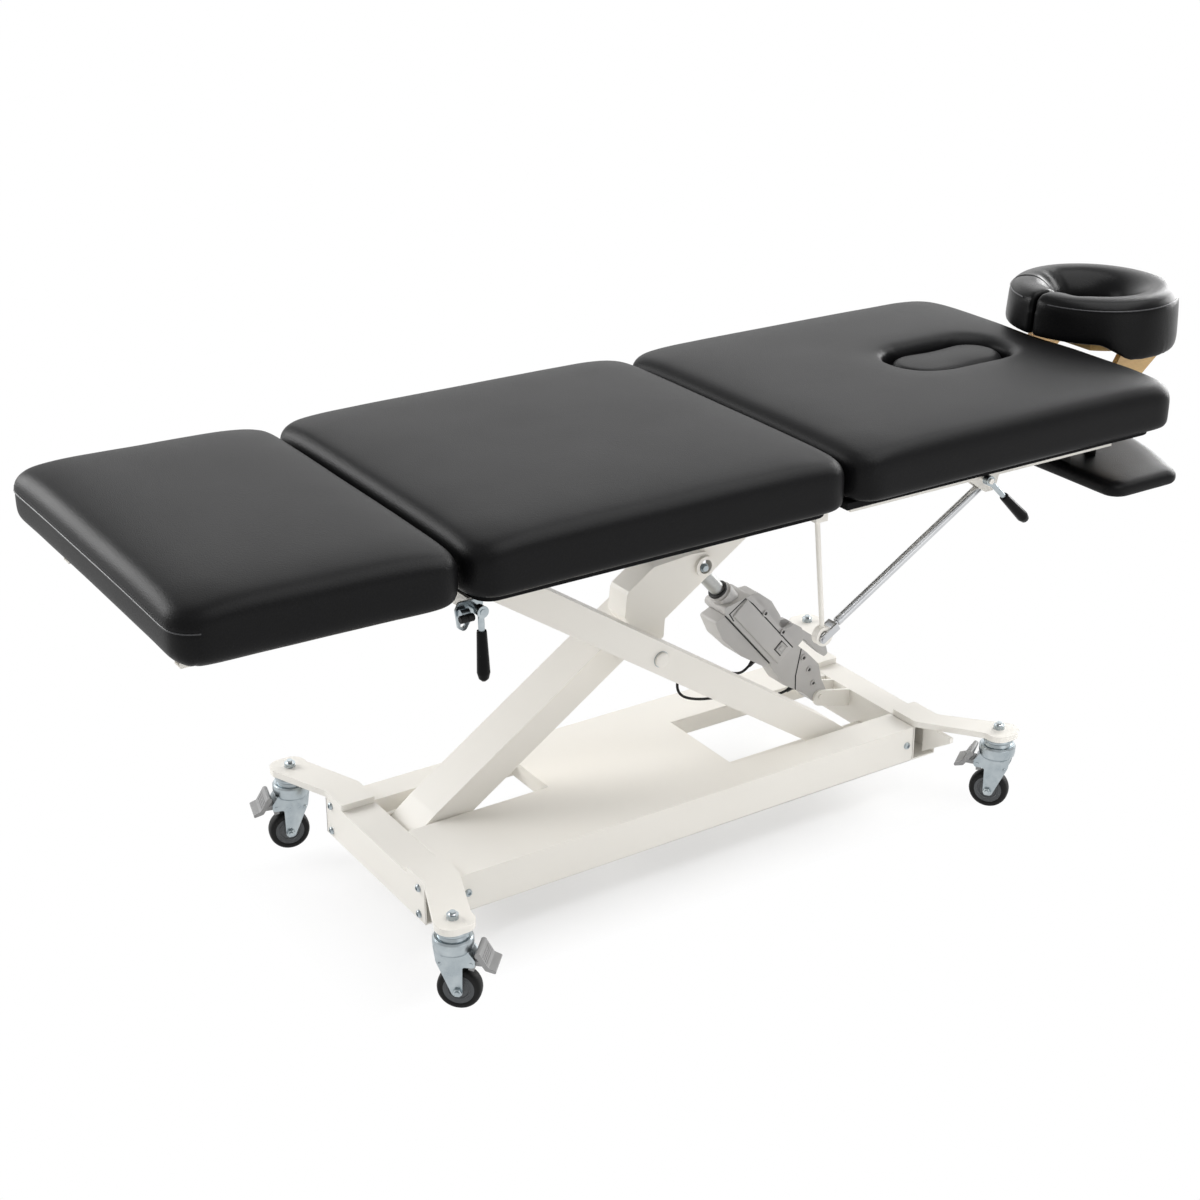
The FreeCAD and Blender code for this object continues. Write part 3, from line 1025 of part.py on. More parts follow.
# Leg frame: rails turning on the frame's pins
leg_rails = []
for side in (-1, 1):
    y0 = rail_far + 1 if side > 0 else -rail_far - 1 - LEG_RAIL_WIDTH
    y1 = y0 + LEG_RAIL_WIDTH
    start = leg_pin_x - 14.0
    rail = hollow_x(start - LEG_RAIL_LENGTH, start, y0, y1, BOARD_BOTTOM - CROSS_HEIGHT, BOARD_BOTTOM,
                    RAIL_WALL)
    ear = cross_rod(leg_pin_x, leg_pin_z, y0, y1, LEG_EAR_RADIUS)
    neck = box(start - 8, leg_pin_x, y0, y1, leg_pin_z - LEG_EAR_RADIUS, leg_pin_z + LEG_EAR_RADIUS)
    bore = cross_rod(leg_pin_x, leg_pin_z, y0 - 1, y1 + 1, LEG_PIN_RADIUS + RUNNING_FIT)
    leg_rails.append(joined([rail, ear, neck]).cut(bore))
save("leg_rails", leg_rails)


# Release levers: bent rod on a hub, tapered round grip
def lever(pin, tip_dx, tip_dz, y, name):
    length = math.hypot(tip_dx, tip_dz)
    ux, uz = tip_dx / length, tip_dz / length
    neck = length - GRIP_LENGTH
    hub = cross_rod(pin[0], pin[1], y - LEVER_HUB_WIDTH / 2, y + LEVER_HUB_WIDTH / 2, LEVER_HUB_RADIUS)
    bar = rod((pin[0], y, pin[1]), (pin[0] + ux * (neck + 50), y, pin[1] + uz * (neck + 50)),
              LEVER_ROD_RADIUS)
    bore = cross_rod(pin[0], pin[1], y - 30, y + 30, LEVER_PIN_RADIUS + RUNNING_FIT)
    save(name + "_lever", joined([hub, bar]).cut(bore))
    base = V(along(pin[0] + ux * neck), y, pin[1] + uz * neck)
    profile = [(0, 0), (GRIP_NECK, 0), (GRIP_NECK + 0.5, 3), (GRIP_RADIUS, GRIP_LENGTH - 14),
               (GRIP_RADIUS - 2.5, GRIP_LENGTH - 4), (GRIP_RADIUS - 6.5, GRIP_LENGTH), (0, GRIP_LENGTH)]
    grip = ring_profile(profile)
    tilt = math.degrees(math.atan2(ux, uz))
    grip.rotate(V(0, 0, 0), V(0, 1, 0), tilt)
    grip.translate(base)
    deep = neck + 51
    hole = rod((pin[0], y, pin[1]), (pin[0] + ux * deep, y, pin[1] + uz * deep),
               LEVER_ROD_RADIUS + RUNNING_FIT)
    save(name + "_lever_grip", grip.cut(hole))


lever(lever_pin, 100.0, -96.0, -LEVER_OVERHANG, "back")
leg_lever_pin = (foot_cross + CROSS_WIDTH / 2 - 6.0, BOARD_BOTTOM - 11.0)
lever(leg_lever_pin, 3.0, -117.0, -LEVER_OVERHANG, "leg")

# Plates that carry the leg lever at the end of the frame's wing
left = leg_lever_pin[0]
plate_points = [(left - 30, BOARD_BOTTOM - 14), (left - 26, BOARD_BOTTOM - 44),
                (left - 14, BOARD_BOTTOM - 52),
                (left + 2, BOARD_BOTTOM - 26), (left + 18, BOARD_BOTTOM - 22), (left + 18, BOARD_BOTTOM - 2),
                (left - 24, BOARD_BOTTOM - 2)]
inner_plate = side_plate(plate_points, [4, 6, 6, 8, 4, 4, 4], -lever_wing - LEVER_PLATE, -lever_wing)
inner_plate = inner_plate.cut(cross_rod(left - 18, BOARD_BOTTOM - 40, -lever_wing - 20, -lever_wing + 20,
                                        4.0))
lever_shaft = cross_rod(leg_lever_pin[0], leg_lever_pin[1], -LEVER_OVERHANG - LEVER_HUB_WIDTH / 2 - 3,
                        -lever_wing,
                        LEVER_PIN_RADIUS)
damper_y = -lever_wing - LEVER_PLATE - 8
damper = rod((left - 27, damper_y, BOARD_BOTTOM - 18), (left - 12, damper_y, BOARD_BOTTOM - 18), 8.0)
save("leg_lever_bracket", joined([inner_plate, lever_shaft, damper]))

# Face cradle: posts and crossbar, wooden base with arms, horseshoe cushion, cam lever
crossbar_x = BACK_END + CROSSBAR_FROM_PAD
arm_half = CRADLE_ARM_SPACING / 2
post_parts = []
for side in (-1, 1):
    y = side * POST_SPACING / 2
    post_parts.append(rod((crossbar_x - POST_LENGTH, y, socket_z), (crossbar_x, y, socket_z), POST_RADIUS))
bar_reach = arm_half + CRADLE_ARM_THICKNESS / 2 + 12
post_parts.append(cross_rod(crossbar_x, socket_z, -bar_reach, bar_reach, CROSSBAR_RADIUS))
save("cradle_posts", joined(post_parts))

cradle_bottom = TOP_HEIGHT + CRADLE_RISE
plate_z = cradle_bottom - CRADLE_BASE_THICKNESS
deck_radius = CRADLE_RADIUS - 14.0
ring = Part.makeCylinder(deck_radius, CRADLE_BASE_THICKNESS, V(along(CRADLE_X), 0, plate_z))
ring = ring.cut(Part.makeCylinder(CRADLE_HOLE + 8, 40, V(along(CRADLE_X), 0, plate_z - 10)))
open_end = CRADLE_X - CRADLE_RADIUS + CRADLE_SETBACK * 0.42
ring = ring.cut(box(CRADLE_X - CRADLE_RADIUS - 1, open_end, -deck_radius, deck_radius, plate_z - 5,
                    plate_z + 40))
cradle_base = [ring]
for side in (-1, 1):
    y = side * arm_half
    arm_points = [(crossbar_x - 18, socket_z - 18), (crossbar_x + 18, socket_z - 18),
                  (CRADLE_X + 70, plate_z - 26),
                  (CRADLE_X + 70, plate_z), (CRADLE_X - 30, plate_z), (crossbar_x - 18, socket_z + 14)]
    arm = side_plate(arm_points, [17, 14, 10, 0, 0, 8], y - CRADLE_ARM_THICKNESS / 2,
                     y + CRADLE_ARM_THICKNESS / 2)
    cradle_base.append(arm.cut(cross_rod(crossbar_x, socket_z, y - 30, y + 30,
                                         CROSSBAR_RADIUS + RUNNING_FIT)))
save("cradle_base", joined(cradle_base))

hole = CRADLE_HOLE
rim = CRADLE_RADIUS
tall = CRADLE_HEIGHT
cushion_edges = [
    Part.LineSegment(V(hole + 10, 0, 0), V(rim - 5, 0, 0)).toShape(),
    Part.Arc(V(rim - 5, 0, 0), V(rim - 1.2, 0, 4), V(rim, 0, 14)).toShape(),
    Part.LineSegment(V(rim, 0, 14), V(rim - 4, 0, tall - 24)).toShape(),
    Part.Arc(V(rim - 4, 0, tall - 24), V(rim - 10, 0, tall - 7), V(rim - 28, 0, tall)).toShape(),
    Part.Arc(V(rim - 28, 0, tall), V(hole + 30, 0, tall - 9), V(hole + 2, 0, tall - 42)).toShape(),
    Part.Arc(V(hole + 2, 0, tall - 42), V(hole, 0, tall - 60), V(hole + 10, 0, 0)).toShape()]
profile = Part.Face(Part.Wire(cushion_edges))
profile.rotate(V(0, 0, 0), V(0, 0, 1), 180 + CRADLE_SLIT_DEG / 2)
cradle_cushion = profile.revolve(V(0, 0, 0), V(0, 0, 1), 360 - CRADLE_SLIT_DEG)
cradle_cushion.translate(V(along(CRADLE_X), 0, cradle_bottom))
save("cradle_cushion", cradle_cushion)

cam_y = -arm_half - CRADLE_ARM_THICKNESS / 2 - TURN_CLEARANCE
cam = cross_rod(crossbar_x, socket_z, cam_y - 11, cam_y, 15.0)
handle = side_plate([(crossbar_x, socket_z + 10), (crossbar_x - 46, socket_z - 8),
                     (crossbar_x - 44, socket_z - 18),
                     (crossbar_x, socket_z - 12)], [0, 4, 4, 0], cam_y - 11, cam_y - 3)
cam_bore = cross_rod(crossbar_x, socket_z, cam_y - 20, cam_y + 5, CROSSBAR_RADIUS + RUNNING_FIT)
save("cradle_cam_lever", joined([cam, handle]).cut(cam_bore))

# Arm shelf: padded board with a bowed head side, hung on straps
shelf_top = PAD_BOTTOM - SHELF_DROP
shelf_bottom = shelf_top - SHELF_THICKNESS
shelf_x0 = BACK_END - SHELF_SETBACK
shelf_half = SHELF_LENGTH / 2
shelf_x1 = shelf_x0 + SHELF_DEPTH


def shelf_outline(inset, z):
    x0, x1 = along(shelf_x0 + inset), along(shelf_x1 - inset)
    y = shelf_half - inset
    bow = along(shelf_x1 + SHELF_BULGE - inset)
    corner = 30.0 - inset * 0.5
    bend = corner * (1 - math.sqrt(0.5))
    edges = []

    def arc(a, b, c):
        edges.append(Part.Arc(V(a[0], a[1], z), V(b[0], b[1], z), V(c[0], c[1], z)).toShape())

    def line(a, b):
        edges.append(Part.LineSegment(V(a[0], a[1], z), V(b[0], b[1], z)).toShape())

    line((x0 + corner, -y), (x1 - corner, -y))
    arc((x1 - corner, -y), (x1 - bend, -y + bend), (x1, -y + corner))
    arc((x1, -y + corner), (bow, 0), (x1, y - corner))
    arc((x1, y - corner), (x1 - bend, y - bend), (x1 - corner, y))
    line((x1 - corner, y), (x0 + corner, y))
    arc((x0 + corner, y), (x0 + bend, y - bend), (x0, y - corner))
    line((x0, y - corner), (x0, -y + corner))
    arc((x0, -y + corner), (x0 + bend, -y + bend), (x0 + corner, -y))
    return Part.Wire(edges)


SHELF_RISE = ((0.0, 3.0), (5.0, 0.0), (16.0, 0.0), (23.0, 4.0), (27.0, 14.0), (28.0, 34.0))
shelf_scale = SHELF_THICKNESS / 28.0
shelf_wires = [shelf_outline(inset, shelf_bottom + rise * shelf_scale) for rise, inset in SHELF_RISE]
shelf = Part.makeLoft(shelf_wires, True, True)
straps = []
for side in (-1, 1):
    y = side * STRAP_SPACING / 2
    y0, y1 = y - STRAP_WIDTH / 2, y + STRAP_WIDTH / 2
    for x in (shelf_x0 + 18, BACK_END - BOARD_INSET - 14):
        strap = box(x, x + STRAP_THICKNESS, y0, y1, shelf_bottom - STRAP_THICKNESS, BACK_BOARD_BOTTOM)
        straps.append((strap, x, y0, y1))
strap_solids = []
for index in (0, 2):
    first, x_first, y0, y1 = straps[index]
    second, x_second, y0, y1 = straps[index + 1]
    under = box(x_first, x_second + STRAP_THICKNESS, y0, y1, shelf_bottom - STRAP_THICKNESS, shelf_bottom)
    tabs = []
    for x in (x_first, x_second - 20):
        tabs.append(box(x, x + 22, y0, y1, BACK_BOARD_BOTTOM - STRAP_THICKNESS, BACK_BOARD_BOTTOM))
    buckle = box(x_first - 4, x_first + STRAP_THICKNESS + 4, y0 - 3, y1 + 3, shelf_top + 12, shelf_top + 30)
    strap_solids.append(joined([first, second, under, buckle] + tabs))
slots = joined([box(x - 0.3, x + STRAP_THICKNESS + 0.3, y0 - 0.3, y1 + 0.3, shelf_bottom - 5, shelf_top + 5)
                for strap, x, y0, y1 in straps])
save("arm_shelf", shelf.cut(slots))
save("shelf_straps", strap_solids)

print("overall length", round(LENGTH, 1), "centre pivot", round(CENTRE_X, 1), round(CENTRE_Z, 1))
print("upper pivot height", round(UPPER_PIVOT_Z, 1), "roller", round(ROLLER_X, 1))
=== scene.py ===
import bpy
import json
import math
import numpy
from mathutils import Euler, Matrix, Vector


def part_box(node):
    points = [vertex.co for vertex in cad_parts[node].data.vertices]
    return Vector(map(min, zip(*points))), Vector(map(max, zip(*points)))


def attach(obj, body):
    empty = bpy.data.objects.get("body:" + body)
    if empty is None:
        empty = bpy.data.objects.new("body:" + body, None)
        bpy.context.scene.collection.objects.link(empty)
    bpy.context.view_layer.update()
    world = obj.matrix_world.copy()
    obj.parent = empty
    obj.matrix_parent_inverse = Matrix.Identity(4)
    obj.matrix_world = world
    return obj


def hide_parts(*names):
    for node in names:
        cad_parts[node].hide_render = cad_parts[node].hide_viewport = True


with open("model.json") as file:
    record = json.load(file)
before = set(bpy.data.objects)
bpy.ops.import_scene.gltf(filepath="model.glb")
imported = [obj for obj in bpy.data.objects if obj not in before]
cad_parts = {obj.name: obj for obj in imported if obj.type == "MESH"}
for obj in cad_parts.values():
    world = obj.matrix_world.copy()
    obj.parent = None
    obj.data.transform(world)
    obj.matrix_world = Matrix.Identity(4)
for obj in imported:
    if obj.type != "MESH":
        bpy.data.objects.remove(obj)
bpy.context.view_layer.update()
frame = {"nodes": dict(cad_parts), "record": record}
nodes = frame["nodes"]

# Camera, fitted to the photo's edges
CAMERA_PLACE = (-2.013, -2.750, 1.955)
CAMERA_YAW = 33.307
CAMERA_PITCH = 23.956
CAMERA_ROLL = 0.226
CAMERA_LENS = 61.47

# Cushions
FOAM_VOXEL = 0.0065
SMALL_VOXEL = 0.0045
FOAM_SWELL_LIMIT = 0.005
FOAM_TOP_INSET = 0.004
FOAM_PRESSURE = 4.0
EVENING_STEPS = 60
GAP_INSET = 0.004
GAP_SHRINK = 0.0005
PAD_CORNER = 0.050
PAD_SHOULDER = 0.033
PAD_FOOT_ROUND = 0.006
LEG_FOOT_ROUND = 0.018
PAD_CROWN = 0.009
CORNER_DROP = 0.010
CORNER_REACH = 0.13
LEG_RISE = 0.008
PAD_GROWTH = Vector((0.006, 0.004, 0.011))
PAD_SKIRT = 0.004
SKIRT_WIDTH = 0.016
SIDE_DRAW = 0.0015
RIM_FROM = 0.045
RIM_WIDTH = 0.028
RIM_SINK = 0.011
BREATHER_GAP = 0.0075
STITCH_PITCH = 0.0075
STITCH_LENGTH = 0.0046
STITCH_RADIUS = 0.0006
SEAM_HEIGHT = 0.061
SIDE_SEAM = 0.026
PANEL_DEPTH = 0.03
PANEL_SINK = 0.0016
WELT_RADIUS = 0.0013
CRADLE_SKIRT = 0.030
CRADLE_WELT_HEIGHT = 0.070
CRADLE_SKIRT_FROM = 0.850
CRADLE_RADIUS = 0.161
CRADLE_WALL = 0.148
CRADLE_BOWL = 0.132
CRADLE_GROWTH = (1.055, 1.055, 1.04, 1)
CRADLE_SHIFT = -0.004
CRADLE_SEAM = 128
CRADLE_FOLDS = ((118, 0.0040, 7), (100, 0.0024, 6), (84, 0.0030, 8), (150, 0.0026, 7), (205, 0.0024, 8),
                (-150, 0.0028, 8))
SHELF_GROWTH = (1.06, 1.04, 1, 1)
STRAP_WIDTH = 0.030
SLIDER_HEIGHT = 0.058

# Motor cable: the route of the CAD tube
CABLE_DIAMETER = 0.0052
CABLE_ROUTE = [(0.1611, 0.022, 0.2751), (0.135, 0.01, 0.267), (0.1052, -0.002, 0.2662), (0.06, -0.01, 0.2878),
               (0.0156, -0.015, 0.3129), (-0.0276, -0.017, 0.323), (-0.0505, -0.017, 0.2991),
               (-0.0415, -0.016, 0.2659), (0.0031, -0.013, 0.245), (0.0639, -0.008, 0.233), (0.1288, 0.0, 0.2178),
               (0.1861, 0.008, 0.196), (0.2278, 0.017, 0.1846), (0.2622, 0.024, 0.1907)]

# Actuator: foot pin, and the line from it to the rod eye
ACTUATOR_FOOT = Vector((0.318, 0.038, 0.157))
ACTUATOR_RISE = Vector((-0.655827, 0.0, 0.754911))
ACTUATOR_NEAR_FACE = 0.006
GEAR_FOOT_NEAR_FACE = 0.016
ACTUATOR_LENGTH = 0.46291
# Half thickness of the near-black strips that paint shade along the actuator's seams
SEAM_SHADE_HALF_THICKNESS = 0.0006
ACROSS = Vector((0, 1, 0))

# Castors
CASTORS = {"foot_near": (-0.682, -0.300, -42.4), "foot_far": (-0.682, 0.300, 165.0),
           "head_near": (0.506, -0.290, 125.0), "head_far": (0.506, 0.290, 71.6)}
WHEEL_TRAIL = 0.009
WHEEL_AXLE = 0.0375
FORK_OUTSIDE = 0.0185
STEM_PLATE_TOP = 0.159
PEDAL_TOP = Vector((0.0512, 0, 0.1118))


class Wire:
    """One node output, with sums written as Python expressions."""

    def __init__(self, finish, socket):
        self.finish = finish
        self.socket = socket

    def math(self, operation, other):
        return self.finish.add("ShaderNodeMath", {"operation": operation}, {0: self, 1: other})

    def __add__(self, other):
        return self.math("ADD", other)

    def __mul__(self, other):
        return self.math("MULTIPLY", other)


class Finish:
    """A material built node by node around one Principled shader."""

    def __init__(self, name, **shader_values):
        self.material = bpy.data.materials.new(name)
        self.material.use_nodes = True
        self.tree = self.material.node_tree
        self.shader = self.tree.nodes["Principled BSDF"]
        self.set(**shader_values)

    def add(self, kind, settings, inputs, output=0):
        node = self.tree.nodes.new(kind)
        for setting, value in settings.items():
            setattr(node, setting, value)
        for socket, value in inputs.items():
            self.feed(node.inputs[socket], value)
        return Wire(self, node.outputs[output])

    def feed(self, socket, value):
        if isinstance(value, Wire):
            self.tree.links.new(value.socket, socket)
        else:
            socket.default_value = value

    def set(self, **inputs):
        for socket, value in inputs.items():
            self.feed(self.shader.inputs[socket.replace("_", " ")], value)

    def place(self, scale=(1, 1, 1)):
        here = self.add("ShaderNodeTexCoord", {}, {}, "Object")
        return self.add("ShaderNodeMapping", {}, {"Vector": here, "Scale": scale})

    def noise(self, scale, detail=2.0, rough=0.5, stretch=(1, 1, 1)):
        inputs = {"Vector": self.place(stretch), "Scale": scale, "Detail": detail, "Roughness": rough}
        return self.add("ShaderNodeTexNoise", {}, inputs, "Fac")

    def cells(self, scale, feature="F1"):
        inputs = {"Vector": self.place(), "Scale": scale}
        return self.add("ShaderNodeTexVoronoi", {"feature": feature}, inputs, "Distance")

    def bands(self, direction, scale, **more):
        inputs = {"Vector": self.place(), "Scale": scale, **more}
        return self.add("ShaderNodeTexWave", {"bands_direction": direction}, inputs, "Fac")

    def ramp(self, value, *stops):
        """Two stops of (place, colour)."""
        colour = self.add("ShaderNodeValToRGB", {}, {"Fac": value}, "Color")
        for element, (place, tone) in zip(colour.socket.node.color_ramp.elements, stops):
            element.position = place
            element.color = tone
        return colour

    def spread(self, value, low, high, out_low, out_high):
        inputs = {"Value": value, 1: low, 2: high, 3: out_low, 4: out_high}
        return self.add("ShaderNodeMapRange", {}, inputs, "Result")

    def done(self, tint, stops, wear, roughness, relief=None):
        """Colour from one value, roughness from another, and a bump of (height, strength, distance)."""
        self.set(Base_Color=self.ramp(tint, *stops), Roughness=self.spread(wear, *roughness))
        if relief:
            height, strength, distance = relief
            inputs = {"Strength": strength, "Distance": distance, "Height": height}
            self.set(Normal=self.add("ShaderNodeBump", {}, inputs, "Normal"))
        return self.material


def grey(value, warm=0.0):
    return (value * (1 + warm), value, value * (1 - warm), 1.0)


def black_vinyl(name, dark, light, rough, gloss):
    finish = Finish(name, Specular_IOR_Level=gloss)
    grain = finish.cells(520.0, "SMOOTH_F1") * 0.8 + finish.noise(1400.0, 3.0) * 0.3
    broad = finish.noise(9.0)
    stops = [(0.25, (dark, dark, dark * 1.1, 1)), (0.85, (light, light, light * 1.1, 1))]
    return finish.done(grain + broad * 0.1, stops, broad + grain * 0.6, (0.3, 1.1, rough - 0.02, rough + 0.02),
                       (grain, 0.55, 0.0005))


def wrapped_board():
    finish = Finish("wrapped_board", Specular_IOR_Level=0.12)
    weave = finish.noise(700.0)
    stops = [(0.2, (0.003, 0.003, 0.0035, 1)), (0.8, (0.006, 0.006, 0.0065, 1))]
    return finish.done(weave, stops, weave, (0.2, 0.8, 0.62, 0.78), (weave, 0.3, 0.0003))


def white_powder_coat():
    finish = Finish("white_powder_coat", Specular_IOR_Level=0.4)
    peel = finish.noise(420.0)
    stops = [(0.2, (0.83, 0.80, 0.74, 1)), (0.8, (0.86, 0.835, 0.78, 1))]
    return finish.done(finish.noise(3.5, 3.0), stops, peel, (0.3, 0.7, 0.34, 0.42), (peel, 0.12, 0.0003))


def zinc_plate():
    finish = Finish("zinc_plate", Metallic=1.0)
    bloom = finish.noise(38.0, 4.0, 0.6)
    fine = finish.noise(900.0)
    stops = [(0.25, (0.34, 0.39, 0.42, 1)), (0.75, (0.53, 0.58, 0.60, 1))]
    return finish.done(bloom, stops, bloom + fine * 0.4, (0.4, 1.0, 0.24, 0.38), (fine, 0.08, 0.0002))


def chrome_rod():
    finish = Finish("chrome_rod", Metallic=1.0)
    broad = finish.noise(12.0)
    stops = [(0.2, (0.52, 0.53, 0.55, 1)), (0.8, (0.68, 0.69, 0.70, 1))]
    return finish.done(broad, stops, broad, (0.2, 0.8, 0.285, 0.31))


def satin_aluminium():
    finish = Finish("satin_aluminium", Metallic=0.85)
    lines = finish.noise(240.0, 3.0, 0.5, (1, 6, 1))
    stops = [(0.2, (0.42, 0.43, 0.42, 1)), (0.8, (0.52, 0.525, 0.52, 1))]
    return finish.done(lines, stops, lines, (0.2, 0.8, 0.36, 0.48), (lines, 0.06, 0.0002))


def moulded_plastic(name, dark, light, rough, warm=0.0):
    finish = Finish(name, Specular_IOR_Level=0.45)
    spark = finish.cells(1300.0)
    stops = [(0.25, grey(dark, warm)), (0.8, grey(light, warm))]
    return finish.done(finish.noise(14.0), stops, spark, (0.0, 0.8, rough - 0.05, rough + 0.06),
                       (spark, 0.15, 0.0002))


def tyre_rubber():
    finish = Finish("tyre_rubber", Specular_IOR_Level=0.22)
    scuff = finish.noise(160.0, 4.0, 0.6)
    stops = [(0.3, grey(0.004)), (0.8, grey(0.010))]
    return finish.done(scuff, stops, scuff, (0.3, 0.8, 0.46, 0.62), (scuff, 0.15, 0.0003))


def birch_plywood():
    finish = Finish("birch_plywood", Coat_Weight=0.35, Coat_Roughness=0.15)
    plies = finish.bands("Z", 130.0, Distortion=0.6, Detail=2.0)
    grain = finish.noise(26.0, 4.0, 0.6, (1, 9, 9))
    stops = [(0.2, (0.46, 0.27, 0.085, 1)), (0.8, (0.70, 0.47, 0.19, 1))]
    return finish.done(grain * 0.6 + plies * 0.4, stops, grain, (0.3, 0.7, 0.32, 0.45), (grain, 0.1, 0.0003))


def gloss_grip():
    finish = Finish("gloss_grip", Specular_IOR_Level=0.11)
    broad = finish.noise(60.0)
    stops = [(0.3, grey(0.0015)), (0.8, grey(0.003))]
    return finish.done(broad, stops, broad, (0.3, 0.7, 0.12, 0.18), (broad, 0.05, 0.0004))


def cable_sleeve():
    finish = Finish("cable_sleeve", Specular_IOR_Level=0.2)
    broad = finish.noise(220.0)
    stops = [(0.3, grey(0.007)), (0.8, grey(0.014))]
    return finish.done(broad, stops, broad, (0.3, 0.7, 0.42, 0.52), (broad, 0.1, 0.0002))


def strap_webbing():
    finish = Finish("strap_webbing", Specular_IOR_Level=0.3)
    weave = finish.bands("Y", 190.0) * finish.bands("Z", 190.0)
    stops = [(0.1, grey(0.008)), (0.9, grey(0.024))]
    return finish.done(weave, stops, weave, (0.0, 1.0, 0.8, 0.65), (weave, 0.5, 0.0004))


FINISHES = {
    "black_vinyl": black_vinyl("black_vinyl", 0.0026, 0.0060, 0.43, 0.13),
    "smooth_vinyl": black_vinyl("smooth_vinyl", 0.0016, 0.0036, 0.28, 0.13),
    # Piping cord: glossier vinyl whose colour is set several times lighter than the pads, a painted highlight along
    # the seam welts.
    "highlight_piping": black_vinyl("highlight_piping", 0.020, 0.045, 0.30, 0.5),
    "black_board": wrapped_board(),
    "birch_plywood": birch_plywood(),
    "white_powder_coat": white_powder_coat(),
    "zinc_plate": zinc_plate(),
    "pedal_grey": moulded_plastic("pedal_grey", 0.27, 0.33, 0.44),
    "black_rubber": tyre_rubber(),
    "wheel_core": moulded_plastic("wheel_core", 0.075, 0.10, 0.42, -0.06),
    "chrome_rod": chrome_rod(),
    "satin_aluminium": satin_aluminium(),
    "grey_plastic": moulded_plastic("grey_plastic", 0.45, 0.51, 0.46, 0.02),
    "dark_plastic": moulded_plastic("dark_plastic", 0.006, 0.010, 0.45),
    "black_grip": gloss_grip(),
    "cable_black": cable_sleeve(),
    "black_webbing": strap_webbing(),
}


def linked(name, data):
    obj = bpy.data.objects.new(name, data)
    bpy.context.collection.objects.link(obj)
    return obj


# Camera
camera_data = bpy.data.cameras.new("camera")
camera_data.lens = CAMERA_LENS
camera_data.sensor_width = 36.0
camera = linked("camera", camera_data)
aim = Euler((math.radians(90 - CAMERA_PITCH), 0, math.radians(-CAMERA_YAW)), "XYZ").to_matrix()
camera.rotation_euler = (aim @ Matrix.Rotation(math.radians(CAMERA_ROLL), 3, "Z")).to_euler()
camera.location = CAMERA_PLACE
bpy.context.scene.camera = camera
bpy.context.scene.view_settings.view_transform = "Standard"


# Making pieces by hand
def edit_mode():
    bpy.ops.object.mode_set(mode="EDIT")


def edit_all():
    edit_mode()
    bpy.ops.mesh.select_all(action="SELECT")


def object_mode():
    bpy.ops.object.mode_set(mode="OBJECT")


def deselect():
    if bpy.context.object and bpy.context.object.mode != "OBJECT":
        object_mode()
    bpy.ops.object.select_all(action="DESELECT")


def pick(obj):
    deselect()
    obj.select_set(True)
    bpy.context.view_layer.objects.active = obj
    return obj


def named(name):
    obj = bpy.context.object
    obj.name = name
    obj.data.name = name
    return obj


def settle(obj):
    pick(obj)
    bpy.ops.object.transform_apply(location=True, rotation=True, scale=True)
    return obj


def add_modifier(obj, name, kind, **settings):
    modifier = obj.modifiers.new(name, kind)
    for setting, value in settings.items():
        setattr(modifier, setting, value)


def apply_modifiers(obj):
    pick(obj)
    for modifier in list(obj.modifiers):
        bpy.ops.object.modifier_apply(modifier=modifier.name)
    return obj


def smooth(obj, angle=35.0):
    pick(obj)
    bpy.ops.object.shade_smooth_by_angle(angle=math.radians(angle))
    return obj


def close_skin(obj):
    """Merges doubles and turns every face outwards."""
    pick(obj)
    edit_all()
    bpy.ops.mesh.remove_doubles(threshold=0.000005)
    bpy.ops.mesh.normals_make_consistent(inside=False)
    object_mode()
    return obj


def finish_piece(obj, body, slot, finish=None):
    obj.data.materials.clear()
    obj.data.materials.append(FINISHES[finish or slot])
    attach(obj, body)
    return obj


def pick_edges(obj, test):
    object_mode()
    for vertex in obj.data.vertices:
        vertex.select = False
    for face in obj.data.polygons:
        face.select = False
    for edge in obj.data.edges:
        edge.select = test(*[obj.data.vertices[v].co for v in edge.vertices])
        if edge.select:
            for v in edge.vertices:
                obj.data.vertices[v].select = True
    edit_mode()


def drawn_line(name, points):
    """A chain of edges through the points, left in edit mode with all of it selected."""
    deselect()
    bpy.ops.mesh.primitive_plane_add(size=0.001)
    obj = named(name)
    edit_mode()
    bpy.ops.mesh.select_mode(type="VERT")
    bpy.ops.mesh.select_all(action="SELECT")
    bpy.ops.mesh.merge(type="CENTER")
    bpy.ops.mesh.select_all(action="SELECT")
    bpy.ops.transform.translate(value=points[0])
    for start, end in zip(points[:-1], points[1:]):
        step = [b - a for a, b in zip(start, end)]
        bpy.ops.mesh.extrude_region_move(TRANSFORM_OT_translate={"value": step})
    bpy.ops.mesh.select_all(action="SELECT")
    return obj


def turned(name, profile, steps=32):
    """A round piece: an outline of (radius, height) spun about Z."""
    obj = drawn_line(name, [(radius, 0, height) for radius, height in profile])
    bpy.ops.mesh.spin(steps=steps, angle=math.radians(360.0), center=(0, 0, 0), axis=(0, 0, 1))
    object_mode()
    return close_skin(obj)


def block(name, low, high, ease, segments=2):
    """A bar between two corners, its edges rounded."""
    deselect()
    low, high = Vector(low), Vector(high)
    bpy.ops.mesh.primitive_cube_add(size=1, location=(low + high) / 2, scale=high - low)
    obj = settle(named(name))
    edit_all()
    bpy.ops.mesh.bevel(offset=ease, segments=segments)
    object_mode()
    return obj


def moved(obj, place):
    obj.data.transform(place)
    return obj


def copy_of(obj, name, place=None):
    copy = obj.copy()
    copy.data = obj.data.copy()
    copy.name = name
    copy.data.name = name
    copy.modifiers.clear()
    bpy.context.collection.objects.link(copy)
    if place is not None:
        copy.data.transform(place)
    return copy


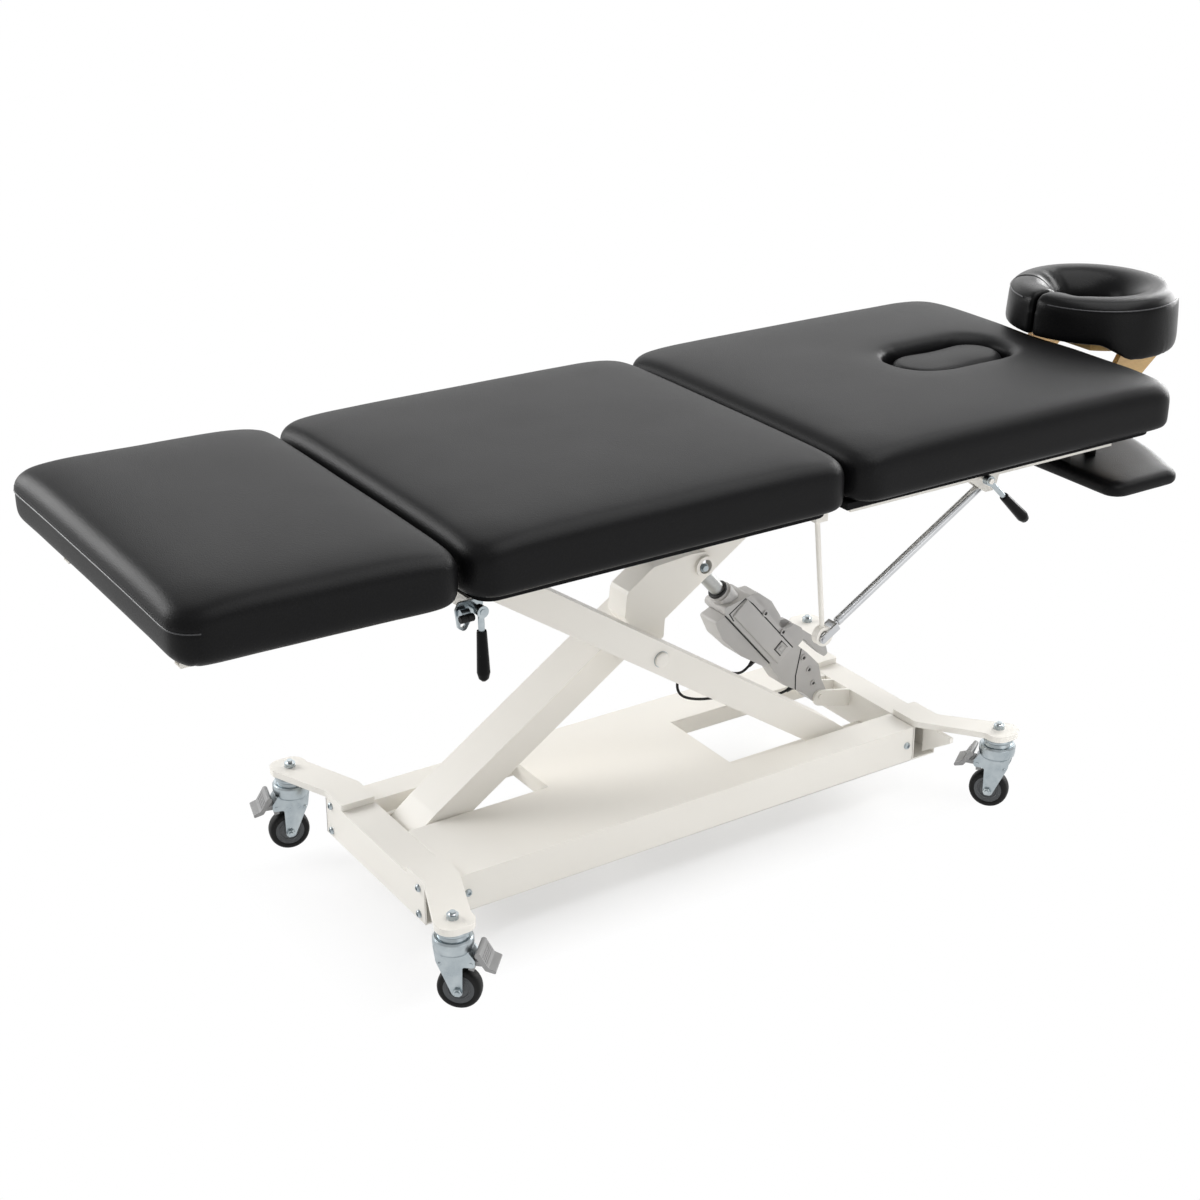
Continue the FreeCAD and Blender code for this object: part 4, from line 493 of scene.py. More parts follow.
def joined(name, pieces):
    deselect()
    for piece in pieces:
        piece.select_set(True)
    bpy.context.view_layer.objects.active = pieces[0]
    if len(pieces) > 1:
        bpy.ops.object.join()
    return named(name)


def repeated(name, first, places):
    """One modelled piece copied to each place, as one object."""
    row = [copy_of(first, name + "_copy", place) for place in places]
    bpy.data.objects.remove(first)
    return joined(name, row)


def facing(point, outward):
    """Stands a piece modelled along Z on a surface, its top pointing outward."""
    return Matrix.Translation(Vector(point)) @ Vector(outward).to_track_quat("Z", "Y").to_matrix().to_4x4()


def inset_faces(obj, test, steps):
    """Insets the faces that pass the test, once for each (thickness, depth)."""
    pick(obj)
    edit_mode()
    bpy.ops.mesh.select_mode(type="FACE")
    object_mode()
    for face in obj.data.polygons:
        face.select = test(face)
    edit_mode()
    for thickness, depth in steps:
        bpy.ops.mesh.inset(thickness=thickness, depth=depth)
    object_mode()


def round_cord(name, points, radius, steps, roundness):
    """A round cord along a smooth line led by the points."""
    curve = bpy.data.curves.new(name, "CURVE")
    curve.dimensions = "3D"
    spline = curve.splines.new("NURBS")
    spline.points.add(len(points) - 1)
    for point, place in zip(spline.points, points):
        point.co = (*place, 1.0)
    spline.order_u = 3
    spline.use_endpoint_u = True
    spline.resolution_u = steps
    curve.bevel_depth = radius
    curve.bevel_resolution = roundness
    curve.use_fill_caps = True
    return linked(name, curve)


# Motor cable, from the motor cover round and back into the gear foot
def motor_cable():
    cable = round_cord("motor_cable_sleeve", CABLE_ROUTE, CABLE_DIAMETER / 2, 10, 5)
    finish_piece(cable, "actuator", "cable_black")
    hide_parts("motor_cable")


def cable_sleeves():
    """Tapered sleeves where the cable enters the motor cover and the gear foot."""
    first = turned("cable_entry", [(0, 0), (0.0058, 0), (0.0058, 0.004), (0.0046, 0.006), (0.0046, 0.008),
                                   (0.0038, 0.016), (0.0030, 0.020), (0, 0.020)], 20)
    starts = []
    for near, far in ((CABLE_ROUTE[0], CABLE_ROUTE[1]), (CABLE_ROUTE[-1], CABLE_ROUTE[-2])):
        way = (Vector(far) - Vector(near)).normalized()
        starts.append(facing(Vector(near) + way * 0.004, way))
    smooth(first, 40)
    finish_piece(repeated("cable_entries", first, starts), "actuator", "grey_plastic", "dark_plastic")


motor_cable()
cable_sleeves()

# Every CAD node takes the finish of its slot, with its edges eased
EDGE_EASE = {"base_deck": 0.0025, "foot_end_beam": 0.004, "head_end_beam": 0.004, "outriggers": 0.003,
             "inner_arm": 0.004, "outer_arm": 0.004, "gooseneck_bracket": 0.003, "upper_frame": 0.0015,
             "actuator_housing": 0.0016, "motor_cover": 0.0022, "release_paddle": 0.002, "cradle_base": 0.002}
SMALL_EASE = 0.0006
SLOT_OF = {entry["node"]: entry["material_slot"] for entry in frame["record"]["subparts"]}


def even_shading():
    group = bpy.data.node_groups.new("even_shading", "GeometryNodeTree")
    group.interface.new_socket("Geometry", in_out="INPUT", socket_type="NodeSocketGeometry")
    group.interface.new_socket("Geometry", in_out="OUTPUT", socket_type="NodeSocketGeometry")
    enter = group.nodes.new("NodeGroupInput")
    leave = group.nodes.new("NodeGroupOutput")
    shade = group.nodes.new("GeometryNodeSetShadeSmooth")
    group.links.new(enter.outputs[0], shade.inputs["Geometry"])
    group.links.new(shade.outputs[0], leave.inputs[0])
    return group


SHADING = even_shading()


def dress(node, finish):
    obj = nodes[node]
    for index in range(len(obj.material_slots)):
        obj.material_slots[index].material = finish
    add_modifier(obj, "shading", "NODES", node_group=SHADING)
    add_modifier(obj, "weld", "WELD", merge_threshold=0.00002)
    ease = EDGE_EASE.get(node, SMALL_EASE)
    add_modifier(obj, "ease", "BEVEL", width=ease, segments=3 if ease > 0.002 else 2, limit_method="ANGLE",
                 angle_limit=math.radians(38), use_clamp_overlap=True)
    add_modifier(obj, "normals", "WEIGHTED_NORMAL", keep_sharp=False)


for node in nodes:
    dress(node, FINISHES[SLOT_OF[node]])


# Padded pieces
def foam_block(name, low, high, corner, shoulder, foot_round):
    """A pad before its foam swells: rounded corners, a deep rounded shoulder and a small round at the foot."""
    deselect()
    bpy.ops.mesh.primitive_cube_add(size=1, location=(low + high) / 2, scale=high - low)
    obj = settle(named(name))
    edit_mode()
    bpy.ops.mesh.select_mode(type="EDGE")
    pick_edges(obj, lambda a, b: abs(a.z - b.z) > 0.01)
    bpy.ops.mesh.bevel(offset=corner, segments=8)
    pick_edges(obj, lambda a, b: a.z > high.z - 1e-4 and b.z > high.z - 1e-4)
    bpy.ops.mesh.bevel(offset=shoulder, segments=9, profile=0.56)
    pick_edges(obj, lambda a, b: a.z < low.z + 1e-4 and b.z < low.z + 1e-4)
    bpy.ops.mesh.bevel(offset=foot_round, segments=3)
    object_mode()
    return obj


def oval_block(name, low, high, grow, shoulder):
    """An oval block with straight sides, its upper edge rounded by the shoulder."""
    deselect()
    middle = (low + high) / 2
    radius = (high.y - low.y) / 2
    reach = (high.x - low.x) / 2 - radius
    bpy.ops.mesh.primitive_cylinder_add(vertices=48, radius=radius + grow, depth=high.z - low.z,
                                        location=(0, 0, middle.z))
    obj = settle(named(name))
    for vertex in obj.data.vertices:
        vertex.co.x += middle.x + (reach if vertex.co.x > 1e-5 else -reach if vertex.co.x < -1e-5 else 0)
        vertex.co.y += middle.y
    if shoulder > 0:
        edit_mode()
        bpy.ops.mesh.select_mode(type="EDGE")
        pick_edges(obj, lambda a, b: a.z > high.z - 1e-4 and b.z > high.z - 1e-4)
        bpy.ops.mesh.bevel(offset=shoulder, segments=6)
        object_mode()
    return obj


def swell(obj, limit, voxel):
    """Foam under its cover: the skin is remeshed and blown up, no point moving further than the limit."""
    pick(obj)
    add_modifier(obj, "skin", "REMESH", mode="VOXEL", voxel_size=voxel)
    bpy.ops.object.modifier_apply(modifier="skin")
    before = [vertex.co.copy() for vertex in obj.data.vertices]
    cloth = obj.modifiers.new("cover", "CLOTH")
    cloth.settings.use_pressure = True
    cloth.settings.uniform_pressure_force = FOAM_PRESSURE
    cloth.settings.effector_weights.gravity = 0.0
    cloth.settings.tension_stiffness = 25.0
    cloth.settings.compression_stiffness = 25.0
    cloth.settings.bending_stiffness = 2.0
    cloth.point_cache.frame_start = 1
    cloth.point_cache.frame_end = 20
    for step in range(1, 21):
        bpy.context.scene.frame_set(step)
    bpy.ops.object.modifier_apply(modifier="cover")
    bpy.context.scene.frame_set(1)
    for vertex, start in zip(obj.data.vertices, before):
        move = vertex.co - start
        if move.length > limit:
            vertex.co = start + move * (limit / move.length)
    return even_out(obj, before)


def even_out(obj, before):
    """Shares each point's swelling with its neighbours, so that the cover lies without wrinkles."""
    mesh = obj.data
    start = numpy.array(before)
    place = numpy.empty(len(mesh.vertices) * 3)
    mesh.vertices.foreach_get("co", place)
    move = place.reshape(-1, 3) - start
    ends = numpy.empty(len(mesh.edges) * 2, dtype=numpy.int32)
    mesh.edges.foreach_get("vertices", ends)
    one, other = ends.reshape(-1, 2).T
    count = numpy.bincount(ends, minlength=len(start))[:, None]
    for step in range(EVENING_STEPS):
        shared = numpy.zeros_like(move)
        numpy.add.at(shared, one, move[other])
        numpy.add.at(shared, other, move[one])
        move = (move + shared / count) / 2
    mesh.vertices.foreach_set("co", (start + move).ravel())
    mesh.update()
    return obj


def crown(obj, low, high, height):
    """Top rises towards its middle and falls at its corners, sides draw in between the corners."""
    middle = (low + high) / 2
    half = (high - low) / 2
    for vertex in obj.data.vertices:
        across = (vertex.co.x - middle.x) / half.x
        along = (vertex.co.y - middle.y) / half.y
        up = max(0.0, (vertex.co.z - low.z) / (high.z - low.z))
        dome = max(0.0, 1 - across ** 4) * max(0.0, 1 - along ** 4)
        to_corner = math.hypot(half.x * (1 - abs(across)), half.y * (1 - abs(along)))
        fall = max(0.0, 1 - to_corner / CORNER_REACH)
        vertex.co.z += (height * dome - CORNER_DROP * fall * fall) * up * up
        side = 1 - min(1.0, up * 1.1)
        vertex.co.x -= SIDE_DRAW * across * max(0.0, 1 - along * along) * (0.4 + side)
        vertex.co.y -= SIDE_DRAW * along * max(0.0, 1 - across * across) * (0.4 + side)


def relax(obj, times=1):
    add_modifier(obj, "relax", "SMOOTH", factor=0.5, iterations=6 * times)
    add_modifier(obj, "fine", "SUBSURF", levels=1, render_levels=1)
    return apply_modifiers(obj)


def press(obj, reach, depth, width):
    """Draws the cover in along a seam: reach(point) gives the distance to the seam line."""
    normals = [vertex.normal.copy() for vertex in obj.data.vertices]
    for vertex, normal in zip(obj.data.vertices, normals):
        distance = reach(vertex.co)
        if distance < width * 3:
            vertex.co -= normal * (depth * math.exp(-(distance / width) ** 2))


def found(obj, start, way):
    """Where a straight look from a point first meets the piece."""
    hit, place = obj.ray_cast(start, way)[:2]
    return place if hit else None


def welt(name, points, body):
    """A thin round cord sewn in along a line of points."""
    pick(round_cord(name, points, WELT_RADIUS, 3, 2))
    bpy.ops.object.convert(target="MESH")
    # The welt takes the lighter piping finish: painted highlight along the seam, on top of its real gloss.
    finish_piece(smooth(named(name), 60), body, "black_vinyl", "highlight_piping")


def stay_above(obj, height):
    for vertex in obj.data.vertices:
        vertex.co.z = max(vertex.co.z, height)


def cover_node(obj, node, body, finish=None):
    """The padded piece takes the place of the CAD node."""
    smooth(obj, 80)
    finish_piece(obj, body, "black_vinyl", finish)
    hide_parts(node)


def stitches(name, points, body):
    """A row of short thread stitches along a line of points, one stitch modelled and copied."""
    deselect()
    bpy.ops.mesh.primitive_uv_sphere_add(segments=6, ring_count=4, radius=STITCH_RADIUS)
    first = named(name)
    edit_all()
    bpy.ops.transform.resize(value=(1, 1, STITCH_LENGTH / (2 * STITCH_RADIUS)))
    object_mode()
    places = []
    for start, end in zip(points[:-1], points[1:]):
        run = end - start
        count = max(1, round(run.length / STITCH_PITCH))
        for step in range(count):
            places.append(facing(start + run * ((step + 0.5) / count), run))
    row = smooth(repeated(name, first, places), 60)
    finish_piece(row, body, "black_vinyl")


def section_pad(node, body, faces_foot, faces_head, foot_round):
    low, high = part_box(node)
    start_low = low + Vector((GAP_INSET if faces_foot else 0, 0, 0))
    start_high = high - Vector((GAP_INSET if faces_head else 0, 0, FOAM_TOP_INSET))
    pad = foam_block(node + "_cover", start_low, start_high, PAD_CORNER, PAD_SHOULDER, foot_round)
    if node == "back_cushion":
        cut_breather(pad)
    swell(pad, FOAM_SWELL_LIMIT, FOAM_VOXEL)
    crown(pad, start_low, start_high, PAD_CROWN)
    if node == "back_cushion":
        soften_breather(pad)
    relax(pad, 2)
    grow_low = Vector((-GAP_SHRINK if faces_foot else PAD_GROWTH.x, PAD_GROWTH.y, PAD_SKIRT))
    grow_high = Vector((-GAP_SHRINK if faces_head else PAD_GROWTH.x, PAD_GROWTH.y, PAD_GROWTH.z))
    fit(pad, low - grow_low, high + grow_high)
    for vertex in pad.data.vertices:
        to_edge = min(vertex.co.x - low.x, high.x - vertex.co.x, vertex.co.y - low.y, high.y - vertex.co.y)
        if to_edge > SKIRT_WIDTH:
            vertex.co.z = max(vertex.co.z, low.z)
    if node == "leg_cushion":
        raise_foot_end(pad, low, high)
        leg_seams(pad)
    cover_node(pad, node, body)


def cut_breather(pad):
    """The hole in which the breather plug sits, right through the pad."""
    low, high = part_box("breather_plug")
    reach_up = Vector((0, 0, 0.05))
    cutter = oval_block("breather_cutter", low - reach_up, high + reach_up, BREATHER_GAP, 0)
    add_modifier(pad, "breather", "BOOLEAN", object=cutter)
    apply_modifiers(pad)
    bpy.data.objects.remove(cutter)


def fit(obj, low, high):
    """Brings a cover to the outline that it has in the photo."""
    places = numpy.empty(len(obj.data.vertices) * 3)
    obj.data.vertices.foreach_get("co", places)
    places = places.reshape(-1, 3)
    start, end = places.min(axis=0), places.max(axis=0)
    places = numpy.array(low) + (places - start) * (numpy.array(high) - numpy.array(low)) / (end - start)
    obj.data.vertices.foreach_set("co", places.ravel())
    obj.data.update()


def raise_foot_end(pad, low, high):
    """The leg pad thins towards the foot: its rim rises there, its underside stays on the board."""
    for vertex in pad.data.vertices:
        to_edge = min(vertex.co.x - low.x, vertex.co.y - low.y, high.y - vertex.co.y)
        rim = max(0.0, 1 - max(0.0, to_edge) / 0.05)
        above = max(0.0, min(1.0, (vertex.co.z - low.z - 0.005) / 0.02))
        vertex.co.z += LEG_RISE * max(rim, above) * (high.x - vertex.co.x) / (high.x - low.x)


def soften_breather(pad):
    """The rim of the breather hole sinks towards the hole."""
    low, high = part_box("breather_plug")
    middle = (low + high) / 2
    radius = (high.y - low.y) / 2
    reach = (high.x - low.x) / 2 - radius
    for vertex in pad.data.vertices:
        if vertex.co.z < low.z + RIM_FROM:
            continue
        along = max(-reach, min(reach, vertex.co.x - middle.x))
        distance = math.hypot(vertex.co.x - middle.x - along, vertex.co.y - middle.y)
        sink = max(0.0, 1 - max(0.0, distance - radius) / RIM_WIDTH)
        vertex.co.z -= RIM_SINK * sink * sink


def leg_seams(pad):
    """Panel seam with its welt across the foot end, the panel below it sunk, and a seam at the near corner."""
    low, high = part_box("leg_cushion")
    seam = low.z + SEAM_HEIGHT
    side_seam = low.x + SIDE_SEAM
    for vertex in pad.data.vertices:
        if vertex.co.x < low.x + PANEL_DEPTH and vertex.co.z < seam:
            sunk = min(1.0, (seam - vertex.co.z) / 0.004)
            vertex.co.x += PANEL_SINK * sunk * max(0.0, 1 - (vertex.co.x - low.x) / PANEL_DEPTH)

    def to_panel_seam(point):
        return abs(point.z - seam) if point.x < low.x + PANEL_DEPTH else 1.0

    def to_side_seam(point):
        if point.y > low.y + 0.05 or point.z > seam:
            return 1.0
        return abs(point.x - side_seam)

    def corner_look(step, side):
        turn = math.radians(10 * step)
        out = Vector((-math.sin(turn), side * math.cos(turn), 0))
        corner = Vector((low.x + 0.04, low.y + 0.04 if side < 0 else high.y - 0.04, 0))
        return corner + out * 0.2, -out

    press(pad, to_panel_seam, 0.0015, 0.003)
    press(pad, to_side_seam, 0.0012, 0.003)
    bpy.context.view_layer.update()
    looks = [(Vector((side_seam, low.y - 0.1, 0)), Vector((0, 1, 0)))]
    looks += [corner_look(step, -1) for step in range(1, 9)]
    for step in range(31):
        y = low.y + 0.045 + (high.y - low.y - 0.09) * step / 30
        looks.append((Vector((low.x - 0.1, y, 0)), Vector((1, 0, 0))))
    looks += [corner_look(step, 1) for step in range(8, 0, -1)]
    line, row = [], []
    for start, way in looks:
        here = found(pad, start + Vector((0, 0, seam + 0.001)), way)
        above = found(pad, start + Vector((0, 0, seam + 0.008)), way)
        if here and above:
            line.append(here - way * (WELT_RADIUS * 0.4))
            row.append(above)
    welt("leg_seam_welt", line, "leg")
    stitches("leg_seam_stitches", row, "leg")


section_pad("leg_cushion", "leg", False, True, LEG_FOOT_ROUND)
section_pad("seat_cushion", "platform", True, True, PAD_FOOT_ROUND)
section_pad("back_cushion", "back", True, False, PAD_FOOT_ROUND)


def leg_board():
    """Wrapped board under the leg pad, set in from the pad's rim."""
    low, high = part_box("leg_board")
    rim = Vector((0.022, 0.030, 0))
    board = foam_block("leg_board_wrapped", low + rim, Vector((high.x, high.y - rim.y, high.z)), 0.030, 0.002, 0.002)
    finish_piece(smooth(board, 35), "leg", "black_board")
    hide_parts("leg_board")


leg_board()


def breather_plug():
    low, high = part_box("breather_plug")
    inset = Vector((0.004, 0.004, 0.002))
    plug = oval_block("breather_plug_cover", low + inset, high - inset, 0.0, 0.016)
    swell(plug, 0.004, SMALL_VOXEL)
    stay_above(plug, low.z)
    relax(plug)
    cover_node(plug, "breather_plug", "plug")


def cradle_cushion():
    """Ring cushion with a sloping bowl, a skirt round its base, a seam and a few folds on its inner wall."""
    low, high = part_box("cradle_cushion")
    middle = Vector((high.x - CRADLE_RADIUS, 0, low.z))
    cushion = close_skin(copy_of(nodes["cradle_cushion"], "cradle_cover"))
    grow = Matrix.Translation(middle + Vector((CRADLE_SHIFT, 0, 0))) @ Matrix.Diagonal(CRADLE_GROWTH)
    moved(cushion, grow @ Matrix.Translation(-middle))
    middle.x += CRADLE_SHIFT
    swell(cushion, 0.006, SMALL_VOXEL + 0.0005)

    def turn_from(spoke, place):
        return (math.degrees(math.atan2(spoke.y, spoke.x)) - place + 180) % 360 - 180

    normals = [vertex.normal.copy() for vertex in cushion.data.vertices]
    for vertex, normal in zip(cushion.data.vertices, normals):
        spoke = Vector((vertex.co.x - middle.x, vertex.co.y, 0))
        inner = max(0.0, min(1.0, (CRADLE_BOWL - spoke.length) / 0.04))
        for place, depth, width in CRADLE_FOLDS:
            vertex.co -= normal * (depth * inner * math.exp(-(turn_from(spoke, place) / width) ** 2))
        clear = max(0.0, min(1.0, (vertex.co.x - CRADLE_SKIRT_FROM) / 0.05))
        outer = max(0.0, min(1.0, (spoke.length - CRADLE_WALL) / 0.008))
        foot = max(0.0, 1 - max(0.0, vertex.co.z - low.z) / 0.045)
        lowest = low.z + 0.004 * (1 - clear)
        vertex.co.z = max(vertex.co.z, lowest) - CRADLE_SKIRT * clear * outer * foot
    relax(cushion, 2)

    def to_seam(point):
        spoke = Vector((point.x - middle.x, point.y, 0))
        turn = turn_from(spoke, CRADLE_SEAM)
        return abs(math.radians(turn)) * spoke.length if point.z > low.z + 0.03 else 1.0

    press(cushion, to_seam, 0.0040, 0.0024)
    bpy.context.view_layer.update()
    line = []
    for step in range(-168, 169, 6):
        out = Vector((math.cos(math.radians(step)), math.sin(math.radians(step)), 0))
        spot = found(cushion, Vector((middle.x, 0, low.z + CRADLE_WELT_HEIGHT)) + out * 0.3, -out)
        if spot:
            line.append(spot + out * (WELT_RADIUS * 0.5))
    cover_node(cushion, "cradle_cushion", "cradle", finish="smooth_vinyl")
    welt("cradle_welt", line, "cradle")


def arm_shelf():
    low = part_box("arm_shelf")[0]
    shelf = close_skin(copy_of(nodes["arm_shelf"], "arm_shelf_cover"))
    to_edge = Matrix.Translation((low.x, 0, 0))
    moved(shelf, to_edge @ Matrix.Diagonal(SHELF_GROWTH) @ to_edge.inverted())
    swell(shelf, 0.002, SMALL_VOXEL)
    stay_above(shelf, low.z)
    relax(shelf)
    cover_node(shelf, "arm_shelf", "back")


breather_plug()
cradle_cushion()
arm_shelf()


def shelf_straps():
    """Two loops of flat webbing under the shelf, each with a slider."""
    low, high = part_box("shelf_straps")
    loops = []
    sliders = []
    for side in (-1, 1):
        y = high.y - 0.003 - STRAP_WIDTH if side > 0 else low.y + 0.003
        first, second = low.x + 0.004, high.x - 0.0025
        path = [(first + 0.022, high.z - 0.001), (first + 0.004, high.z - 0.0015), (first + 0.001, high.z - 0.005),
                (first + 0.001, low.z + 0.006), (first + 0.005, low.z + 0.0016), (second - 0.004, low.z + 0.0016),
                (second, low.z + 0.006), (second, high.z - 0.005), (second - 0.003, high.z - 0.0015),
                (second - 0.020, high.z - 0.001)]
        loop = drawn_line("shelf_strap_loop", [(x, y, z) for x, z in path])
        bpy.ops.mesh.extrude_region_move(TRANSFORM_OT_translate={"value": (0, STRAP_WIDTH, 0)})
        object_mode()
        close_skin(loop)
        add_modifier(loop, "thickness", "SOLIDIFY", thickness=0.0018, offset=0)
        add_modifier(loop, "edge", "BEVEL", width=0.0004, segments=2)
        loops.append(smooth(apply_modifiers(loop), 40))
        middle = low.z + SLIDER_HEIGHT
        slider = block("shelf_slider", (first - 0.003, y - 0.003, middle - 0.009),
                       (first + 0.005, y + STRAP_WIDTH + 0.003, middle + 0.009), 0.0015)
        inset_faces(slider, lambda face: abs(face.normal.x) > 0.9 and face.area > 0.0001, [(0.003, -0.001)])
        sliders.append(smooth(slider, 35))
    straps = finish_piece(joined("shelf_strap_loops", loops), "back", "black_webbing")
    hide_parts("shelf_straps")
    finish_piece(joined("shelf_strap_sliders", sliders), "back", "black_webbing", "dark_plastic")


shelf_straps()


# Castors
def castor_place(corner):
    x, y, turn = CASTORS[corner]
    return Matrix.Translation((x, y, 0)) @ Matrix.Rotation(math.radians(turn), 4, "Z")


ON_AXLE = Matrix.Translation((WHEEL_TRAIL, 0, WHEEL_AXLE)) @ Matrix.Rotation(math.radians(90), 4, "X")
half_tyre = [(0.0262, -0.0118), (0.0285, -0.0134), (0.0315, -0.0138), (0.0340, -0.0128), (0.0360, -0.0105),
             (0.0371, -0.0070), (0.0375, -0.0030)]
tyre = turned("tyre", [(0.0250, 0.0)] + half_tyre + [(r, -h) for r, h in reversed(half_tyre)] + [(0.0250, 0.0)], 56)
half_core = [(0.0052, -0.0136), (0.0088, -0.0136), (0.0098, -0.0126), (0.0106, -0.0112), (0.0165, -0.0104),
             (0.0172, -0.0116), (0.0190, -0.0118), (0.0198, -0.0108), (0.0205, -0.0104), (0.0252, -0.0112),
             (0.0262, -0.0119)]
core = turned("wheel_core", half_core + [(r, -h) for r, h in reversed(half_core)] + [half_core[0]], 48)
smooth(tyre, 40)
smooth(core, 28)
moved(tyre, ON_AXLE)
moved(core, ON_AXLE)

cap_nut = joined("cap_nut", [
    turned("nut_washer", [(0, 0), (0.0128, 0), (0.0128, 0.0012), (0.0118, 0.0018), (0, 0.0018)], 36),
    turned("nut_flats", [(0, 0.0018), (0.0100, 0.0018), (0.0106, 0.0026), (0.0106, 0.0080), (0.0096, 0.0094),
                         (0, 0.0094)], 6),
    turned("nut_dome", [(0.0088, 0.0085), (0.0086, 0.0105), (0.0075, 0.0132), (0.0052, 0.0152), (0.0025, 0.0161),
                        (0, 0.0163)], 24)])
smooth(cap_nut, 32)

axle_nut = joined("axle_nut", [
    turned("axle_flats", [(0, 0), (0.0075, 0), (0.0079, 0.0008), (0.0079, 0.0042), (0.0070, 0.0052), (0, 0.0052)], 6),
    turned("axle_end", [(0.0042, 0.005), (0.0042, 0.0072), (0.0034, 0.0080), (0, 0.0080)], 20)])
smooth(axle_nut, 30)
rivet = smooth(turned("fork_rivet", [(0, 0.0024), (0.0016, 0.0022), (0.0032, 0.0012), (0.0038, 0), (0, 0)], 20), 60)
tread_rib = block("pedal_rib", (-0.0007, -0.0215, -0.0008), (0.0007, 0.0215, 0.0011), 0.0005)

for corner in CASTORS:
    here = castor_place(corner)
    wheel_tyre = finish_piece(copy_of(tyre, "tyre_" + corner, here), "wheel_" + corner, "black_rubber")
    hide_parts("castor_wheel_" + corner)
    finish_piece(copy_of(core, "wheel_core_" + corner, here), "wheel_" + corner, "black_rubber", "wheel_core")
    nut = copy_of(cap_nut, "cap_nut_" + corner, here @ Matrix.Translation((0, 0, STEM_PLATE_TOP)))
    finish_piece(nut, "base", "zinc_plate", "chrome_rod")
    ends = []
    for side in (-1, 1):
        out = Vector((0, side, 0))
        ends.append(copy_of(axle_nut, "axle_end", here @ facing((WHEEL_TRAIL, side * FORK_OUTSIDE, WHEEL_AXLE), out)))
        for x, z in ((-0.014, 0.106), (0.012, 0.108), (-0.020, 0.088)):
            ends.append(copy_of(rivet, "rivet", here @ facing((x, side * (FORK_OUTSIDE - 0.0002), z), out)))
    finish_piece(joined("fork_hardware_" + corner, ends), "fork_" + corner, "zinc_plate")
    ribs = []
    slope = Vector((0.012, 0, -0.021)).normalized()
    up = Vector((0.021, 0, 0.012)).normalized()
    turn = Matrix((slope, ACROSS, up)).transposed().to_4x4()
    for step in range(4):
        spot = PEDAL_TOP + slope * (0.0028 + 0.0042 * step)
        ribs.append(copy_of(tread_rib, "tread_rib", here @ Matrix.Translation(spot) @ turn))
    finish_piece(smooth(joined("pedal_ribs_" + corner, ribs), 30), "pedal_" + corner, "pedal_grey")
for first in (tyre, core, cap_nut, axle_nut, rivet, tread_rib):
    bpy.data.objects.remove(first)


# Bolts of the base
def base_bolts():
    head = turned("base_bolt", [(0, 0.0022), (0.0030, 0.0022), (0.0030, 0.0046), (0.0046, 0.0044), (0.0062, 0.0032),
                                (0.0070, 0.0012), (0.0070, 0), (0, 0)], 24)
    smooth(head, 35)
    low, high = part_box("foot_end_beam")
    head_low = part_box("head_end_beam")[0]
    places = []
    for y in (low.y + 0.020, high.y - 0.020):
        for z in (high.z - 0.009, low.z + 0.012):
            places.append(facing((low.x, y, z), (-1, 0, 0)))
    height = (low.z + high.z) / 2
    for x in (high.x + 0.016, head_low.x - 0.016):
        places.append(facing((x, low.y, height), (0, -1, 0)))
        places.append(facing((x, high.y, height), (0, 1, 0)))
    bolts = finish_piece(repeated("base_bolts", head, places), "base", "zinc_plate")
    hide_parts("frame_bolts")


base_bolts()


# Actuator details
def on_actuator(u, v, y):
    """Point u mm up the actuator from its foot pin, v mm to its motor side, at depth y in metres."""
    side = Vector((-ACTUATOR_RISE.z, 0, ACTUATOR_RISE.x))
    point = ACTUATOR_FOOT + ACTUATOR_RISE * (u / 1000) + side * (v / 1000)
    return Vector((point.x, y, point.z))


def painted_seam_shade(name, points, y, width):
    """A near-black strip along a parting line on the near side of the actuator, through (u, v) points: painted shade
    of the seam.
    """
    strips = []
    places = [on_actuator(u, v, y) for u, v in points]
    for start, end in zip(places[:-1], places[1:]):
        run = end - start
        way = run.normalized()
        strip = block("seam_shade_strip", (-width / 2, -SEAM_SHADE_HALF_THICKNESS, -width / 2),
                      (width / 2, SEAM_SHADE_HALF_THICKNESS, run.length + width / 2), 0.0002, 1)
        turn = Matrix((way.cross(ACROSS) * -1, ACROSS, way)).transposed()
        strips.append(moved(strip, Matrix.Translation(start) @ turn.to_4x4()))
    finish_piece(joined(name, strips), "actuator", "grey_plastic", "dark_plastic")


